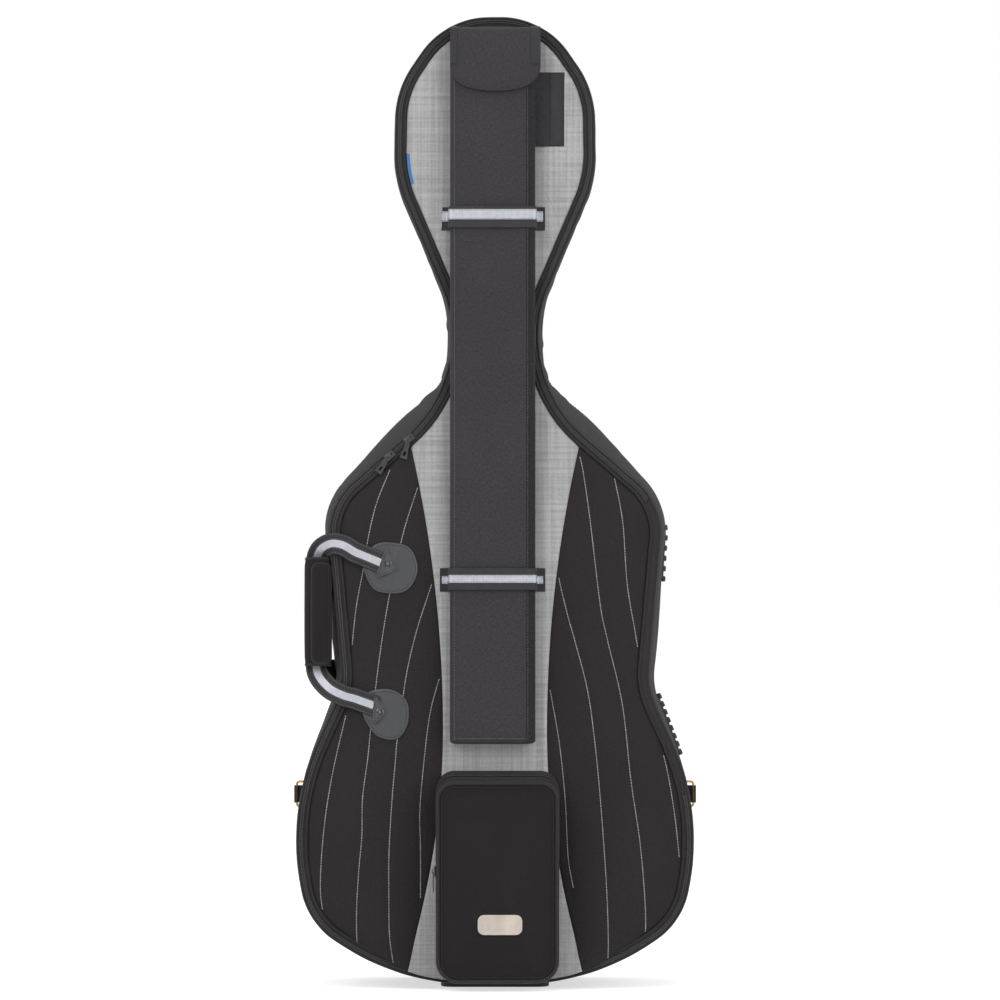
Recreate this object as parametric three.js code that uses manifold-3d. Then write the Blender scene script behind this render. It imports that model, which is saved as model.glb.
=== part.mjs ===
// Padded soft case for a full-size cello, standing, in millimetres, with +Z up and its front facing -Y.
// The origin is the centre of the base pad's underside.
import * as THREE from "three";
import { mergeVertices } from "three/addons/utils/BufferGeometryUtils.js";
import Module from "manifold-3d";

const wasm = await Module();
wasm.setup();

// Zip line on the front, right half from the bottom centre to the top centre: corners and their rounding.
const toe = { half: 131, up: 0, round: 330 };
const lowerBoutLow = { half: 256, up: 83, round: 102 };
const lowerBoutHigh = { half: 285, up: 234, round: 330 };
const waist = { half: 207, up: 407, round: 110 };
const upperBout = { half: 230, up: 661, round: 90 };
const neckLow = { half: 57, up: 811, round: 190 };
const neckHigh = { half: 54, up: 936, round: 170 };
const headLow = { half: 135, up: 1126, round: 170 };
const headHigh = { half: 133, up: 1246, round: 130 };
const crown = { half: 66, up: 1345, round: 110 };
const zipCorners = [
  toe, lowerBoutLow, lowerBoutHigh, waist, upperBout, neckLow, neckHigh, headLow, headHigh, crown,
];
const filletRoomShare = 0.98;
const arcStep = THREE.MathUtils.degToRad(12);
const fineStep = THREE.MathUtils.degToRad(4.5);
const lineStep = 110;

// Depth of the bag from the front's fabric plane to the back's outer face.
const depthBelow = 230;
const depthAbove = 150;

// Cloth, foam and the gap that neighbouring pieces keep.
const gap = 0.3;
const cloth = 1.6;
const lining = 1;
const wallFoam = 12;
const lidFoam = 12.4;
const backFoam = 12.4;

// Edge of the front, measured outwards from the zip line, and heights above the front's plane.
const piping = { radius: 1.8, sides: 5, inward: 7.5, outward: 5, height: 0.9 };
const zip = { coilHalf: 2.7, coilRise: 2.2, tape: 1, tapeHeight: 0.2 };
const gussetReach = 6.5;
const backInset = 3.5;

// How much further than the front the back reaches, and how much the wall between them swells.
const shoulderSwell = { up: 762, span: 95, reach: 25 };
const waistSwell = { up: 450, span: 170, reach: 9 };
const neckSwell = { up: 900, span: 120, reach: 6 };
const wallSwell = { up: 560, span: 330, reach: 5 };

// Seam between the grey centre panel and the black side panels.
const seam = { waistHalf: 73, waistUp: 349, topHalf: 116, topUp: 736, bottomHalf: 129 };
const panelGap = 0.5;
const sidePuff = { reach: 8, share: 0.08 };

// Foot pad.
const basePad = { half: 76, depth: 150, thickness: 7, round: 20 };

// Cloth hinge on the right of the waist.
const hinge = { low: 258, high: 668 };
const hingeEndGap = 1;

// Zip sliders and their pull tabs.
const slider = { half: 4.8, lip: 0.7, plate: 1.6, length: 15, noseShare: 0.75, shoulderShare: 0.25 };
const bridge = { half: 1.2, length: 10, rise: 3.2, bar: 1, slopeShare: 0.3 };
const pull = {
  bar: 1.4, eyeHalf: 1.6, eyeLength: 7, rail: 1.3, length: 29,
  footHalf: 5.5, slotHalf: 1.6, slotLength: 6, heel: 4,
};
const sliderSpacing = 36;
const upperPullTurn = THREE.MathUtils.degToRad(32);
const lowerPullTurn = THREE.MathUtils.degToRad(14);

// Bow quiver, lying on the front along the middle.
const quiver = {
  left: -63, right: 56, low: 328, lowJoin: 600, highJoin: 982, high: 1331,
  thickness: 28, wall: 2.4, round: 9, topGap: 0.6,
};
const quiverSeat = 4.2;
const flap = { left: -63, right: 64, drop: 88, arc: 26, cloth: 2.2, axisRise: 2.8 };
const sideBand = { left: -60, right: 98, low: 1168, high: 1273, cloth: 2 };
const keeper = { width: 30, cloth: 1.6, foot: 13, clearance: 0.5 };
const upperKeeperUp = 1066;
const lowerKeeperUp = 558;
const sideTag = { low: 1112, high: 1158, width: 9, cloth: 0.6 };

// Accessory pocket at the foot of the front.
const pocket = {
  left: -81, right: 88, lowBack: 12, lowFront: -4, highBack: 291, highFront: 274,
  depth: 50, split: 24.5, wall: 2.4, roundLow: 30, roundHigh: 24, edge: 4, fold: 162, zipLow: 118,
};
const pocketZip = { half: 2.7, rise: 1.7, seam: 0.2 };
const pocketSliderUp = 150;
const plate = { left: -24, right: 38, low: 62, high: 90, thickness: 1.6, round: 9 };

// Carry handle on the left: leather patches, rivets, webbing and the padded grip.
const leather = 2.2;
const upperPatch = [
  { across: -190, up: 586, round: 14 }, { across: -172, up: 540, round: 16 },
  { across: -122, up: 537, round: 22 }, { across: -104, up: 572, round: 24 },
  { across: -118, up: 608, round: 16 }, { across: -166, up: 612, round: 16 },
];
const lowerPatch = [
  { across: -188, up: 372, round: 12 }, { across: -168, up: 338, round: 14 },
  { across: -134, up: 330, round: 14 }, { across: -119, up: 360, round: 24 },
  { across: -121, up: 392, round: 18 }, { across: -146, up: 407, round: 16 },
  { across: -184, up: 402, round: 12 },
];
const webbing = { width: 30, cloth: 2.4 };
const rivet = { radius: 6.5, rise: 3.4, sides: 12 };
const upperRivet = { across: -150, up: 580 };
const lowerRivet = { across: -161, up: 372 };
const handleAxisAcross = -196;
const strapEnd = { inner: -142, upperUp: 574, lowerUp: 372, slope: 0.42, lowerSlope: 0.36, rest: 1.2 };
const handleRise = [
  { across: -212, up: 609, height: 9 }, { across: -230, up: 612, height: 5 },
  { across: -246, up: 607, height: -6 },
];
const handleFall = [
  { across: -212, up: 398, height: 9 }, { across: -230, up: 412, height: 5 },
  { across: -246, up: 424, height: -6 },
];
const grip = {
  left: -267, right: -234, low: 438, high: 590, front: 4, back: -32, round: 11, endShare: 0.8, end: 12,
};
const rearStrap = {
  rest: 0.6, out: 242, front: 72, lift: 120, seat: 168, back: 200, low: 442, high: 586, corner: 22,
};

// Ribbed bumpers on the right wall.
const bumper = { depth: 34, thickness: 4, rib: 4, ribs: 6, ribShare: 0.55, fromBack: 60, seat: 0.9 };
const upperBumper = { low: 560, high: 630 };
const lowerBumper = { low: 308, high: 385 };

// Backpack straps on the back, and the brass rings that their lower ends hook into.
const carryStrap = {
  half: 30, thickness: 12, across: 64, top: 812, bottom: 430, spread: 46, bow: 34, steps: 8,
};
const carryWeb = { width: 25, cloth: 2, under: 40 };
const ring = { half: 9, tall: 18, wire: 1.7, round: 4, up: 262, out: 275, sides: 6 };
const ringTab = { width: 22, cloth: 1.6, length: 30, fold: 10 };

// Fittings inside: a neck cradle with its strap.
const cradle = { half: 40, low: 862, high: 932, rise: 34, notchHalf: 24, notchDepth: 20 };
const neckStrap = { width: 30, cloth: 2, reach: 78 };

const overrun = 5;

const black = new THREE.Color(0.045, 0.043, 0.046);
const cloths = {
  black: new THREE.MeshStandardMaterial({ color: black, roughness: 0.85, metalness: 0 }),
  grey: new THREE.MeshStandardMaterial({ color: 0xa9a9ab, roughness: 0.8, metalness: 0 }),
  foam: new THREE.MeshStandardMaterial({ color: 0x3a3a3d, roughness: 0.95, metalness: 0 }),
  lining: new THREE.MeshStandardMaterial({ color: 0x55565a, roughness: 0.9, metalness: 0 }),
  webbing: new THREE.MeshStandardMaterial({ color: 0x1b1a1c, roughness: 0.8, metalness: 0 }),
  leather: new THREE.MeshStandardMaterial({ color: 0x2b2c2f, roughness: 0.5, metalness: 0 }),
  rubber: new THREE.MeshStandardMaterial({ color: 0x1c1c1c, roughness: 0.7, metalness: 0 }),
  zip: new THREE.MeshStandardMaterial({ color: 0x262628, roughness: 0.5, metalness: 0 }),
  steel: new THREE.MeshStandardMaterial({ color: 0x6a6a6e, roughness: 0.35, metalness: 1 }),
  brass: new THREE.MeshStandardMaterial({ color: 0xb08d4a, roughness: 0.35, metalness: 1 }),
  plate: new THREE.MeshStandardMaterial({ color: 0xd8d2c4, roughness: 0.4, metalness: 0 }),
  tag: new THREE.MeshStandardMaterial({ color: 0x6fa8e0, roughness: 0.7, metalness: 0 }),
};

// Outline of straight runs and arcs through rounded corners, run anticlockwise with its outward normals.
class Outline {
  constructor(corners) {
    const sides = corners.map((corner, i) => {
      const before = corners.at(i - 1);
      const after = corners[(i + 1) % corners.length];
      const from = new THREE.Vector2(before.x - corner.x, before.y - corner.y);
      const to = new THREE.Vector2(after.x - corner.x, after.y - corner.y);
      const turn = Math.PI - Math.acos(from.clone().normalize().dot(to.clone().normalize()));
      const bend = Math.sign(-from.cross(to)) || 1;
      return { corner, from, to, turn, bend, tangent: corner.round * Math.tan(turn / 2) };
    });
    sides.forEach((side, i) => {
      const rooms = [
        [side.from.length(), sides.at(i - 1).tangent],
        [side.to.length(), sides[(i + 1) % sides.length].tangent],
      ];
      const fits = rooms.map(([room, other]) => (filletRoomShare * room) / (side.tangent + other));
      side.fit = Math.min(1, ...fits);
    });
    this.pieces = [];
    sides.forEach((side, i) => {
      const next = sides[(i + 1) % sides.length];
      const tangent = side.tangent * side.fit;
      const radius = side.corner.round * side.fit;
      const along = side.from.clone().normalize().negate();
      const start = new THREE.Vector2(side.corner.x, side.corner.y).addScaledVector(along, -tangent);
      this.pieces.push({ start, along, bend: side.bend, radius, length: radius * side.turn });
      const out = side.to.clone().normalize();
      const end = new THREE.Vector2(side.corner.x, side.corner.y).addScaledVector(out, tangent);
      const length = side.to.length() - tangent - next.tangent * next.fit;
      this.pieces.push({ start: end, along: out, length });
    });
    this.length = this.pieces.reduce((sum, piece) => sum + piece.length, 0);
  }

  // Point, heading and outward normal at a distance along the outline.
  at(distance) {
    let rest = ((distance % this.length) + this.length) % this.length;
    let piece = this.pieces[0];
    for (piece of this.pieces) {
      if (rest <= piece.length) break;
      rest -= piece.length;
    }
    const along = piece.along.clone();
    const point = piece.start.clone();
    if (piece.radius) {
      const angle = (rest / piece.radius) * piece.bend;
      const centre = this.centreOf(piece);
      point.rotateAround(centre, angle);
      along.rotateAround(new THREE.Vector2(), angle);
    } else {
      point.addScaledVector(along, rest);
    }
    return { x: point.x, y: point.y, along, out: new THREE.Vector2(along.y, -along.x) };
  }

  centreOf(piece) {
    const inward = new THREE.Vector2(-piece.along.y, piece.along.x).multiplyScalar(piece.bend);
    return piece.start.clone().addScaledVector(inward, piece.radius);
  }

  // Distance along the outline at which a piece starts.
  startOf(index) {
    return this.pieces.slice(0, index).reduce((sum, piece) => sum + piece.length, 0);
  }

  // Distances from one place to another that follow the arcs closely.
  stations(from, to, step = arcStep) {
    const marks = [from];
    for (let lap = Math.floor(from / this.length); lap <= Math.floor(to / this.length); lap += 1) {
      let start = lap * this.length;
      for (const piece of this.pieces) {
        const parts = piece.radius ? piece.length / piece.radius / step : piece.length / lineStep;
        const count = Math.max(1, Math.ceil(parts));
        for (let i = 0; i < count; i += 1) marks.push(start + (piece.length * i) / count);
        start += piece.length;
      }
    }
    const inside = marks.filter((mark) => mark > from + gap && mark < to - gap);
    return [from, ...inside.sort((a, b) => a - b), to];
  }

  loop() {
    return this.stations(0, this.length).slice(0, -1).map((mark) => this.at(mark));
  }
}

function cornersOf(half) {
  const right = half.map(({ half: x, up: y, round }) => ({ x, y, round }));
  return [...right, ...right.map((corner) => ({ ...corner, x: -corner.x })).reverse()];
}

const zipLine = new Outline(cornersOf(zipCorners));
// The first piece is the arc at the right toe, so the bottom centre lies half a straight run before it.
const bottomRun = zipLine.pieces.at(-1).length / 2;
const topPiece = zipLine.pieces.length / 2 - 1;
const rightRun = zipLine.startOf(topPiece) + zipLine.pieces[topPiece].length / 2;

// Distance along the right half of the zip line at a height, found by halving.
function rightAt(up) {
  let low = -bottomRun;
  let high = rightRun;
  while (high - low > gap / 1000) {
    const middle = (low + high) / 2;
    if (zipLine.at(middle + zipLine.length).y < up) low = middle;
    else high = middle;
  }
  return low;
}

// The left half mirrors the right about the top centre.
function leftAt(up) {
  return 2 * rightRun - rightAt(up);
}

const frontTilt = Math.asin((depthBelow - depthAbove) / crown.up);
const floorToZip = basePad.thickness + gap + gussetReach;
const backFace = depthBelow / 2;
const front = new THREE.Group();
front.rotation.x = Math.PI / 2 - frontTilt;
front.position.set(0, backFace - depthBelow, floorToZip);
front.updateMatrixWorld(true);
const back = new THREE.Group();
back.rotation.x = Math.PI / 2;
back.position.set(0, backFace, floorToZip);
back.updateMatrixWorld(true);
const upright = new THREE.Group();
const caseBag = new THREE.Group();
caseBag.add(front, back, upright);

function named(group, name, geometry, material) {
  const mesh = new THREE.Mesh(geometry, material);
  mesh.name = name;
  group.add(mesh);
  return mesh;
}

function geometryOf(positions, triangles) {
  const geometry = new THREE.BufferGeometry();
  geometry.setAttribute("position", new THREE.Float32BufferAttribute(positions, 3));
  geometry.setIndex(triangles);
  return geometry;
}

function volumeOf(points, triangles) {
  let sum = 0;
  for (let i = 0; i < triangles.length; i += 3) {
    const [a, b, c] = [points[triangles[i]], points[triangles[i + 1]], points[triangles[i + 2]]];
    sum += a.dot(b.clone().cross(c));
  }
  return sum;
}

// Solid through a row of sections with equal numbers of points; closed joins the last section to the first.
function loft(sections, closed = false) {
  const count = sections[0].length;
  const points = sections.flat();
  const triangles = [];
  // The shorter diagonal splits each quad, so that neighbouring layers bend alike.
  const quad = (a, b, c, d) => {
    if (points[a].distanceTo(points[c]) <= points[b].distanceTo(points[d])) triangles.push(a, b, c, a, c, d);
    else triangles.push(a, b, d, b, c, d);
  };
  const last = closed ? sections.length : sections.length - 1;
  for (let i = 0; i < last; i += 1) {
    const here = i * count;
    const there = ((i + 1) % sections.length) * count;
    for (let j = 0; j < count; j += 1) {
      const k = (j + 1) % count;
      quad(here + j, here + k, there + k, there + j);
    }
  }
  if (!closed) {
    const end = (sections.length - 1) * count;
    for (let k = 0; k < count / 2 - 1; k += 1) {
      const [a, b, c, d] = [k, k + 1, count - 2 - k, count - 1 - k];
      quad(d, c, b, a);
      quad(end + a, end + b, end + c, end + d);
    }
  }
  if (volumeOf(points, triangles) < 0) triangles.reverse();
  return geometryOf(points.flatMap((point) => point.toArray()), triangles);
}

function solidOf(geometry) {
  const bare = new THREE.BufferGeometry();
  bare.setAttribute("position", geometry.getAttribute("position").clone());
  bare.setIndex(geometry.index);
  const merged = mergeVertices(bare, gap / 1000);
  return new wasm.Manifold(
    new wasm.Mesh({
      numProp: 3,
      vertProperties: merged.getAttribute("position").array,
      triVerts: new Uint32Array(merged.index.array),
    }),
  );
}

function meshOf(solid) {
  const made = solid.getMesh();
  return geometryOf(Array.from(made.vertProperties), Array.from(made.triVerts));
}

function cut(geometry, ...tools) {
  return meshOf(tools.reduce((solid, tool) => solid.subtract(solidOf(tool)), solidOf(geometry)));
}

function join(geometry, ...others) {
  return meshOf(others.reduce((solid, other) => solid.add(solidOf(other)), solidOf(geometry)));
}

function keep(geometry, tool) {
  return meshOf(solidOf(geometry).intersect(solidOf(tool)));
}

function boxBetween(low, high) {
  const size = new THREE.Vector3().subVectors(high, low);
  const middle = new THREE.Vector3().addVectors(low, high).multiplyScalar(1 / 2);
  return new THREE.BoxGeometry(size.x, size.y, size.z).translate(middle.x, middle.y, middle.z);
}

function vec(x, y, z) {
  return new THREE.Vector3(x, y, z);
}

// Flat plate of an outline between two heights.
function plateOf(points, from, to) {
  const shape = new THREE.Shape(points.map((point) => new THREE.Vector2(point.x, point.y)));
  return new THREE.ExtrudeGeometry(shape, { depth: to - from, bevelEnabled: false }).translate(0, 0, from);
}

function offsetLoop(loop, reach) {
  return loop.map((place) => new THREE.Vector2(place.x, place.y).addScaledVector(place.out, reach));
}

function roundedBox(left, right, low, high, round) {
  return new Outline([
    { x: right, y: low, round }, { x: right, y: high, round },
    { x: left, y: high, round }, { x: left, y: low, round },
  ]);
}

// Half width of the front at a height, a set distance inside the zip line.
function halfWidths(inset) {
  const marks = zipLine.stations(0, rightRun).filter((mark) => mark > 0);
  const places = [zipLine.at(0), ...marks.map((mark) => zipLine.at(mark))];
  return offsetLoop(places, -inset);
}

function halfAt(edge, up) {
  if (up <= edge[0].y) return edge[0].x;
  for (let i = 1; i < edge.length; i += 1) {
    if (up <= edge[i].y) {
      const share = (up - edge[i - 1].y) / (edge[i].y - edge[i - 1].y);
      return THREE.MathUtils.lerp(edge[i - 1].x, edge[i].x, share);
    }
  }
  return edge.at(-1).x;
}

function seamAt(up) {
  const above = up > seam.waistUp;
  const far = above ? seam.topUp : 0;
  const reach = above ? seam.topHalf : seam.bottomHalf;
  const share = (up - seam.waistUp) / (far - seam.waistUp);
  return seam.waistHalf + (reach - seam.waistHalf) * share ** 2;
}

const panelInset = piping.inward + piping.radius + gap;
const panelEdge = halfWidths(panelInset);

// Height of the front's fabric above its plane: flat in the middle, softly puffed on the side panels.
function puffAt(across, up) {
  const half = Math.abs(across);
  const inner = seamAt(up);
  const outer = halfAt(panelEdge, up);
  if (half <= inner || half >= outer) return 0;
  const reach = Math.min(sidePuff.reach, sidePuff.share * (outer - inner));
  return reach * Math.sin((Math.PI * (half - inner)) / (outer - inner));
}

function frontSkin(across, up) {
  return cloth + puffAt(across, up);
}

// Solid between two surfaces over rows that run from left to right at set heights.
function sheetOf(rows, columns, top, bottom) {
  const sections = rows.map(({ left, right, up }) => {
    const shares = Array.from({ length: columns + 1 }, (_, i) => i / columns);
    const places = shares.map((share) => THREE.MathUtils.lerp(left, right, share));
    const over = places.map((across) => vec(across, up, top(across, up)));
    const under = places.map((across) => vec(across, up, bottom(across, up))).reverse();
    return [...over, ...under];
  });
  return loft(sections);
}

// Rows of a closed convex outline, from its lowest point to its highest.
function rowsOf(outline, count) {
  const loop = outline.loop();
  const heights = loop.map((place) => place.y);
  const low = Math.min(...heights);
  const high = Math.max(...heights);
  const sliver = (high - low) / (count * count);
  return Array.from({ length: count + 1 }, (_, i) => {
    const share = (1 - Math.cos((Math.PI * i) / count)) / 2;
    const up = THREE.MathUtils.lerp(low + sliver, high - sliver, share);
    const hits = [];
    loop.forEach((place, k) => {
      const next = loop[(k + 1) % loop.length];
      if (place.y <= up === next.y > up) {
        hits.push(THREE.MathUtils.lerp(place.x, next.x, (up - place.y) / (next.y - place.y)));
      }
    });
    return { left: Math.min(...hits), right: Math.max(...hits), up };
  });
}

// Patch that lies on the front's fabric.
function drape(outline, thickness, rows = 8, columns = 4) {
  const seat = (across, up) => frontSkin(across, up) + gap;
  return sheetOf(rowsOf(outline, rows), columns, (x, y) => seat(x, y) + thickness, seat);
}

// Ribbon through a list of points, with the direction of its width at each.
function ribbon(points, sides, width, thickness) {
  const last = points.length - 1;
  const sections = points.map((point, i) => {
    const before = points[Math.max(0, i - 1)];
    const after = points[Math.min(last, i + 1)];
    const along = after.clone().sub(before).normalize();
    const half = sides[i].clone().normalize().multiplyScalar(width / 2);
    const rise = half.clone().cross(along).normalize().multiplyScalar(thickness / 2);
    const leg = point.clone().sub(before).normalize();
    const miter = i && i < last ? Math.max(1 / 2, Math.abs(leg.dot(along))) : 1;
    rise.divideScalar(miter);
    return [
      point.clone().sub(half).sub(rise), point.clone().add(half).sub(rise),
      point.clone().add(half).add(rise), point.clone().sub(half).add(rise),
    ];
  });
  return loft(sections);
}

// Strap with its width along one direction.
function strap(points, side, width, thickness) {
  return ribbon(points, points.map(() => side), width, thickness);
}

// Webbing's fold around a bar: points on a half turn from one side of the bar to the other.
function foldAround(centre, along, rise, reach) {
  return [0, 1, 2, 3, 4].map((i) => {
    const angle = (Math.PI * i) / 4;
    const ahead = centre.clone().addScaledVector(along, reach * Math.sin(angle));
    return ahead.addScaledVector(rise, -reach * Math.cos(angle));
  });
}

// Edge trim along the zip line: a section of points, each an outward reach and a height.
function trim(marks, section, closed) {
  return loft(
    marks.map((mark) => {
      const place = zipLine.at(mark);
      return section.map(([reach, height]) =>
        vec(place.x + reach * place.out.x, place.y + reach * place.out.y, height),
      );
    }),
    closed,
  );
}

function roundSection(reach, height, radius, sides) {
  return Array.from({ length: sides }, (_, i) => {
    const angle = (2 * Math.PI * i) / sides;
    return [reach + radius * Math.cos(angle), height + radius * Math.sin(angle)];
  });
}

function boxSection(inner, outer, low, high) {
  return [[inner, low], [outer, low], [outer, high], [inner, high]];
}

const hingeFrom = rightAt(hinge.low);
const hingeTo = rightAt(hinge.high);
const lineMarks = [...zipLine.stations(0, zipLine.length).slice(0, -1), hingeFrom, hingeTo];
const wholeLine = lineMarks.sort((a, b) => a - b);

function bump(swell, up) {
  const share = Math.abs(up - swell.up) / swell.span;
  return share < 1 ? swell.reach * Math.cos((Math.PI / 2) * share) ** 2 : 0;
}

function backSwell(up) {
  return bump(shoulderSwell, up) + bump(waistSwell, up) + bump(neckSwell, up);
}

const backDrop = Math.cos(frontTilt);

function backPlace(mark, reach) {
  const place = zipLine.at(mark);
  const far = reach + backSwell(place.y);
  return new THREE.Vector2(place.x + far * place.out.x, (place.y + far * place.out.y) * backDrop);
}

// Point of the wall between the front and the back: a share of the way back, swelling in the middle.
function wallPoint(mark, reach, share, frontHeight, backDepth) {
  const place = zipLine.at(mark);
  const ahead = vec(place.x + reach * place.out.x, place.y + reach * place.out.y, frontHeight);
  ahead.applyMatrix4(front.matrixWorld);
  const flat = backPlace(mark, reach);
  const behind = vec(flat.x, flat.y, backDepth).applyMatrix4(back.matrixWorld);
  const swell = 4 * share * (1 - share) * bump(wallSwell, place.y);
  return ahead.lerp(behind, share).add(vec(place.out.x, 0, place.out.y).multiplyScalar(swell));
}

function wall(section) {
  return loft(
    wholeLine.map((mark) => section.map((corner) => wallPoint(mark, ...corner))),
    true,
  );
}

// Wall layers, from the outside in.
const wallClothIn = gussetReach - cloth;
const foamOut = wallClothIn - gap;
const foamIn = foamOut - wallFoam;
const liningOut = foamIn - gap;
const liningIn = liningOut - lining;
const pipingSeat = piping.height - piping.radius - gap;
const tapeSeat = zip.tapeHeight - gap;
const backSeat = cloth + gap;
const backPipingSeat = piping.height + piping.radius + gap;
const coilTop = zip.tapeHeight + zip.tape + gap + zip.coilRise;
const coilOuter = piping.outward - piping.radius - gap;

function buildWall() {
  const middle = 1 / 2;
  named(upright, "wall_cloth", wall([
    [wallClothIn, 0, pipingSeat, 0], [gussetReach, 0, pipingSeat, 0],
    [gussetReach, middle, pipingSeat, backPipingSeat], [gussetReach, 1, 0, backPipingSeat],
    [wallClothIn, 1, 0, backPipingSeat],
    [wallClothIn, middle, pipingSeat, backPipingSeat],
  ]), cloths.black);
  const shelf = coilOuter - gap;
  named(upright, "wall_foam", wall([
    [foamIn, 0, tapeSeat, 0], [shelf, 0, tapeSeat, 0], [foamOut, 0, pipingSeat - gap, 0],
    [foamOut, middle, tapeSeat, backSeat], [foamOut, 1, 0, backPipingSeat + gap], [shelf, 1, 0, backSeat],
    [foamIn, 1, 0, backSeat], [foamIn, middle, tapeSeat, backSeat],
  ]), cloths.foam);
  named(upright, "wall_lining", wall([
    [liningIn, 0, tapeSeat, 0], [liningOut, 0, tapeSeat, 0], [liningOut, middle, tapeSeat, backSeat],
    [liningOut, 1, 0, backSeat], [liningIn, 1, 0, backSeat], [liningIn, middle, tapeSeat, backSeat],
  ]), cloths.lining);
}

function buildBack() {
  const outer = wholeLine.map((mark) => backPlace(mark, piping.outward - piping.radius - gap));
  const inner = wholeLine.map((mark) => backPlace(mark, liningIn - backInset));
  const foamFrom = cloth + gap;
  const liningFrom = foamFrom + backFoam + gap;
  named(back, "back_panel", plateOf(outer, 0, cloth), cloths.black);
  named(back, "back_foam", plateOf(inner, foamFrom, foamFrom + backFoam), cloths.foam);
  named(back, "back_lining", plateOf(inner, liningFrom, liningFrom + lining), cloths.lining);
  const cord = wholeLine.map((mark) =>
    roundSection(piping.outward, piping.height, piping.radius, piping.sides).map(([reach, height]) => {
      const place = backPlace(mark, reach);
      return vec(place.x, place.y, height);
    }),
  );
  named(back, "back_piping", loft(cord, true), cloths.black);
}

const backInside = cloth + gap + backFoam + gap + lining;

// The arc from the left shoulder into the neck, which the upper slider follows.
const neckPiece = zipCorners.indexOf(neckLow) * 2;
const neckFrom = 2 * rightRun - zipLine.startOf(neckPiece + 1);
const neckTo = 2 * rightRun - zipLine.startOf(neckPiece);
const neckRun = zipLine.stations(neckFrom, neckTo, fineStep);

function buildEdge() {
  const share = 1 / 2;
  const zipEnd = hingeFrom - hingeEndGap * share + zipLine.length;
  const zipRun = zipLine.stations(hingeTo + hingeEndGap * share, zipEnd);
  const hingeRun = zipLine.stations(hingeFrom + hingeEndGap * share, hingeTo - hingeEndGap * share);
  const tapeTop = zip.tapeHeight + zip.tape;
  const coilLow = tapeTop + gap;
  const round = (reach, height) => roundSection(reach, height, piping.radius, piping.sides);
  const tapeIn = -piping.inward + piping.radius + gap;
  named(front, "wall_piping", trim(wholeLine, round(piping.outward, piping.height), true), cloths.black);
  const frontCord = round(-piping.inward, zip.tapeHeight + piping.radius);
  named(front, "front_piping", trim(wholeLine, frontCord, true), cloths.black);
  const wallTape = boxSection(gap, coilOuter, zip.tapeHeight, tapeTop);
  named(front, "wall_zip_tape", trim(zipRun, wallTape), cloths.zip);
  const frontTape = boxSection(tapeIn, -gap, zip.tapeHeight, tapeTop);
  named(front, "front_zip_tape", trim(zipRun, frontTape), cloths.zip);
  const coilRun = [
    ...zipRun.filter((mark) => mark < neckRun[0] - gap || mark > neckRun.at(-1) + gap), ...neckRun,
  ].sort((a, b) => a - b);
  named(front, "wall_zip_coil", trim(coilRun, boxSection(gap, zip.coilHalf, coilLow, coilTop)), cloths.zip);
  const frontCoil = boxSection(-zip.coilHalf, -gap, coilLow, coilTop);
  named(front, "front_zip_coil", trim(coilRun, frontCoil), cloths.zip);
  const hingeCloth = boxSection(tapeIn, coilOuter, zip.tapeHeight, tapeTop);
  named(front, "cloth_hinge", trim(hingeRun, hingeCloth), cloths.black);
}

// Heights at which the front's panels have a row, between two limits.
function rowHeights(from, to) {
  const heights = panelEdge.map((place) => place.y).filter((up) => up > from + gap && up < to - gap);
  return [from, ...heights, to];
}

// Height at which the seam between the panels meets the panel's edge, found by halving.
function seamEnd(inside, outside) {
  let [low, high] = [inside, outside];
  const least = panelGap + cloth;
  while (Math.abs(high - low) > gap / 1000) {
    const middle = (low + high) / 2;
    if (halfAt(panelEdge, middle) - seamAt(middle) > least) low = middle;
    else high = middle;
  }
  return low;
}

function buildFront() {
  const low = panelEdge[0].y;
  const high = panelEdge.at(-1).y;
  const sideLow = seamEnd(seam.waistUp, low);
  const sideHigh = seamEnd(seam.waistUp, seam.topUp + seam.topHalf);
  const centre = rowHeights(low, high).map((up) => {
    const edge = halfAt(panelEdge, up);
    const half = up > sideLow && up < sideHigh ? Math.min(edge, seamAt(up)) : edge;
    return { left: -half, right: half, up };
  });
  const skin = (x, y) => frontSkin(x, y);
  named(front, "centre_panel", sheetOf(centre, 2, () => cloth, () => 0), cloths.grey);
  const side = rowHeights(sideLow, sideHigh).map((up) => ({
    left: seamAt(up) + panelGap, right: halfAt(panelEdge, up), up,
  }));
  const mirrored = side.map(({ left, right, up }) => ({ left: -right, right: -left, up }));
  const sideColumns = 5;
  named(front, "left_side_panel", sheetOf(mirrored, sideColumns, skin, () => 0), cloths.black);
  named(front, "right_side_panel", sheetOf(side, sideColumns, skin, () => 0), cloths.black);
  const liningTop = -gap - lidFoam - gap;
  const rim = offsetLoop(zipLine.loop(), -panelInset);
  named(front, "front_foam", plateOf(rim, -gap - lidFoam, -gap), cloths.foam);
  named(front, "front_lining", plateOf(rim, liningTop - lining, liningTop), cloths.lining);
}

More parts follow.
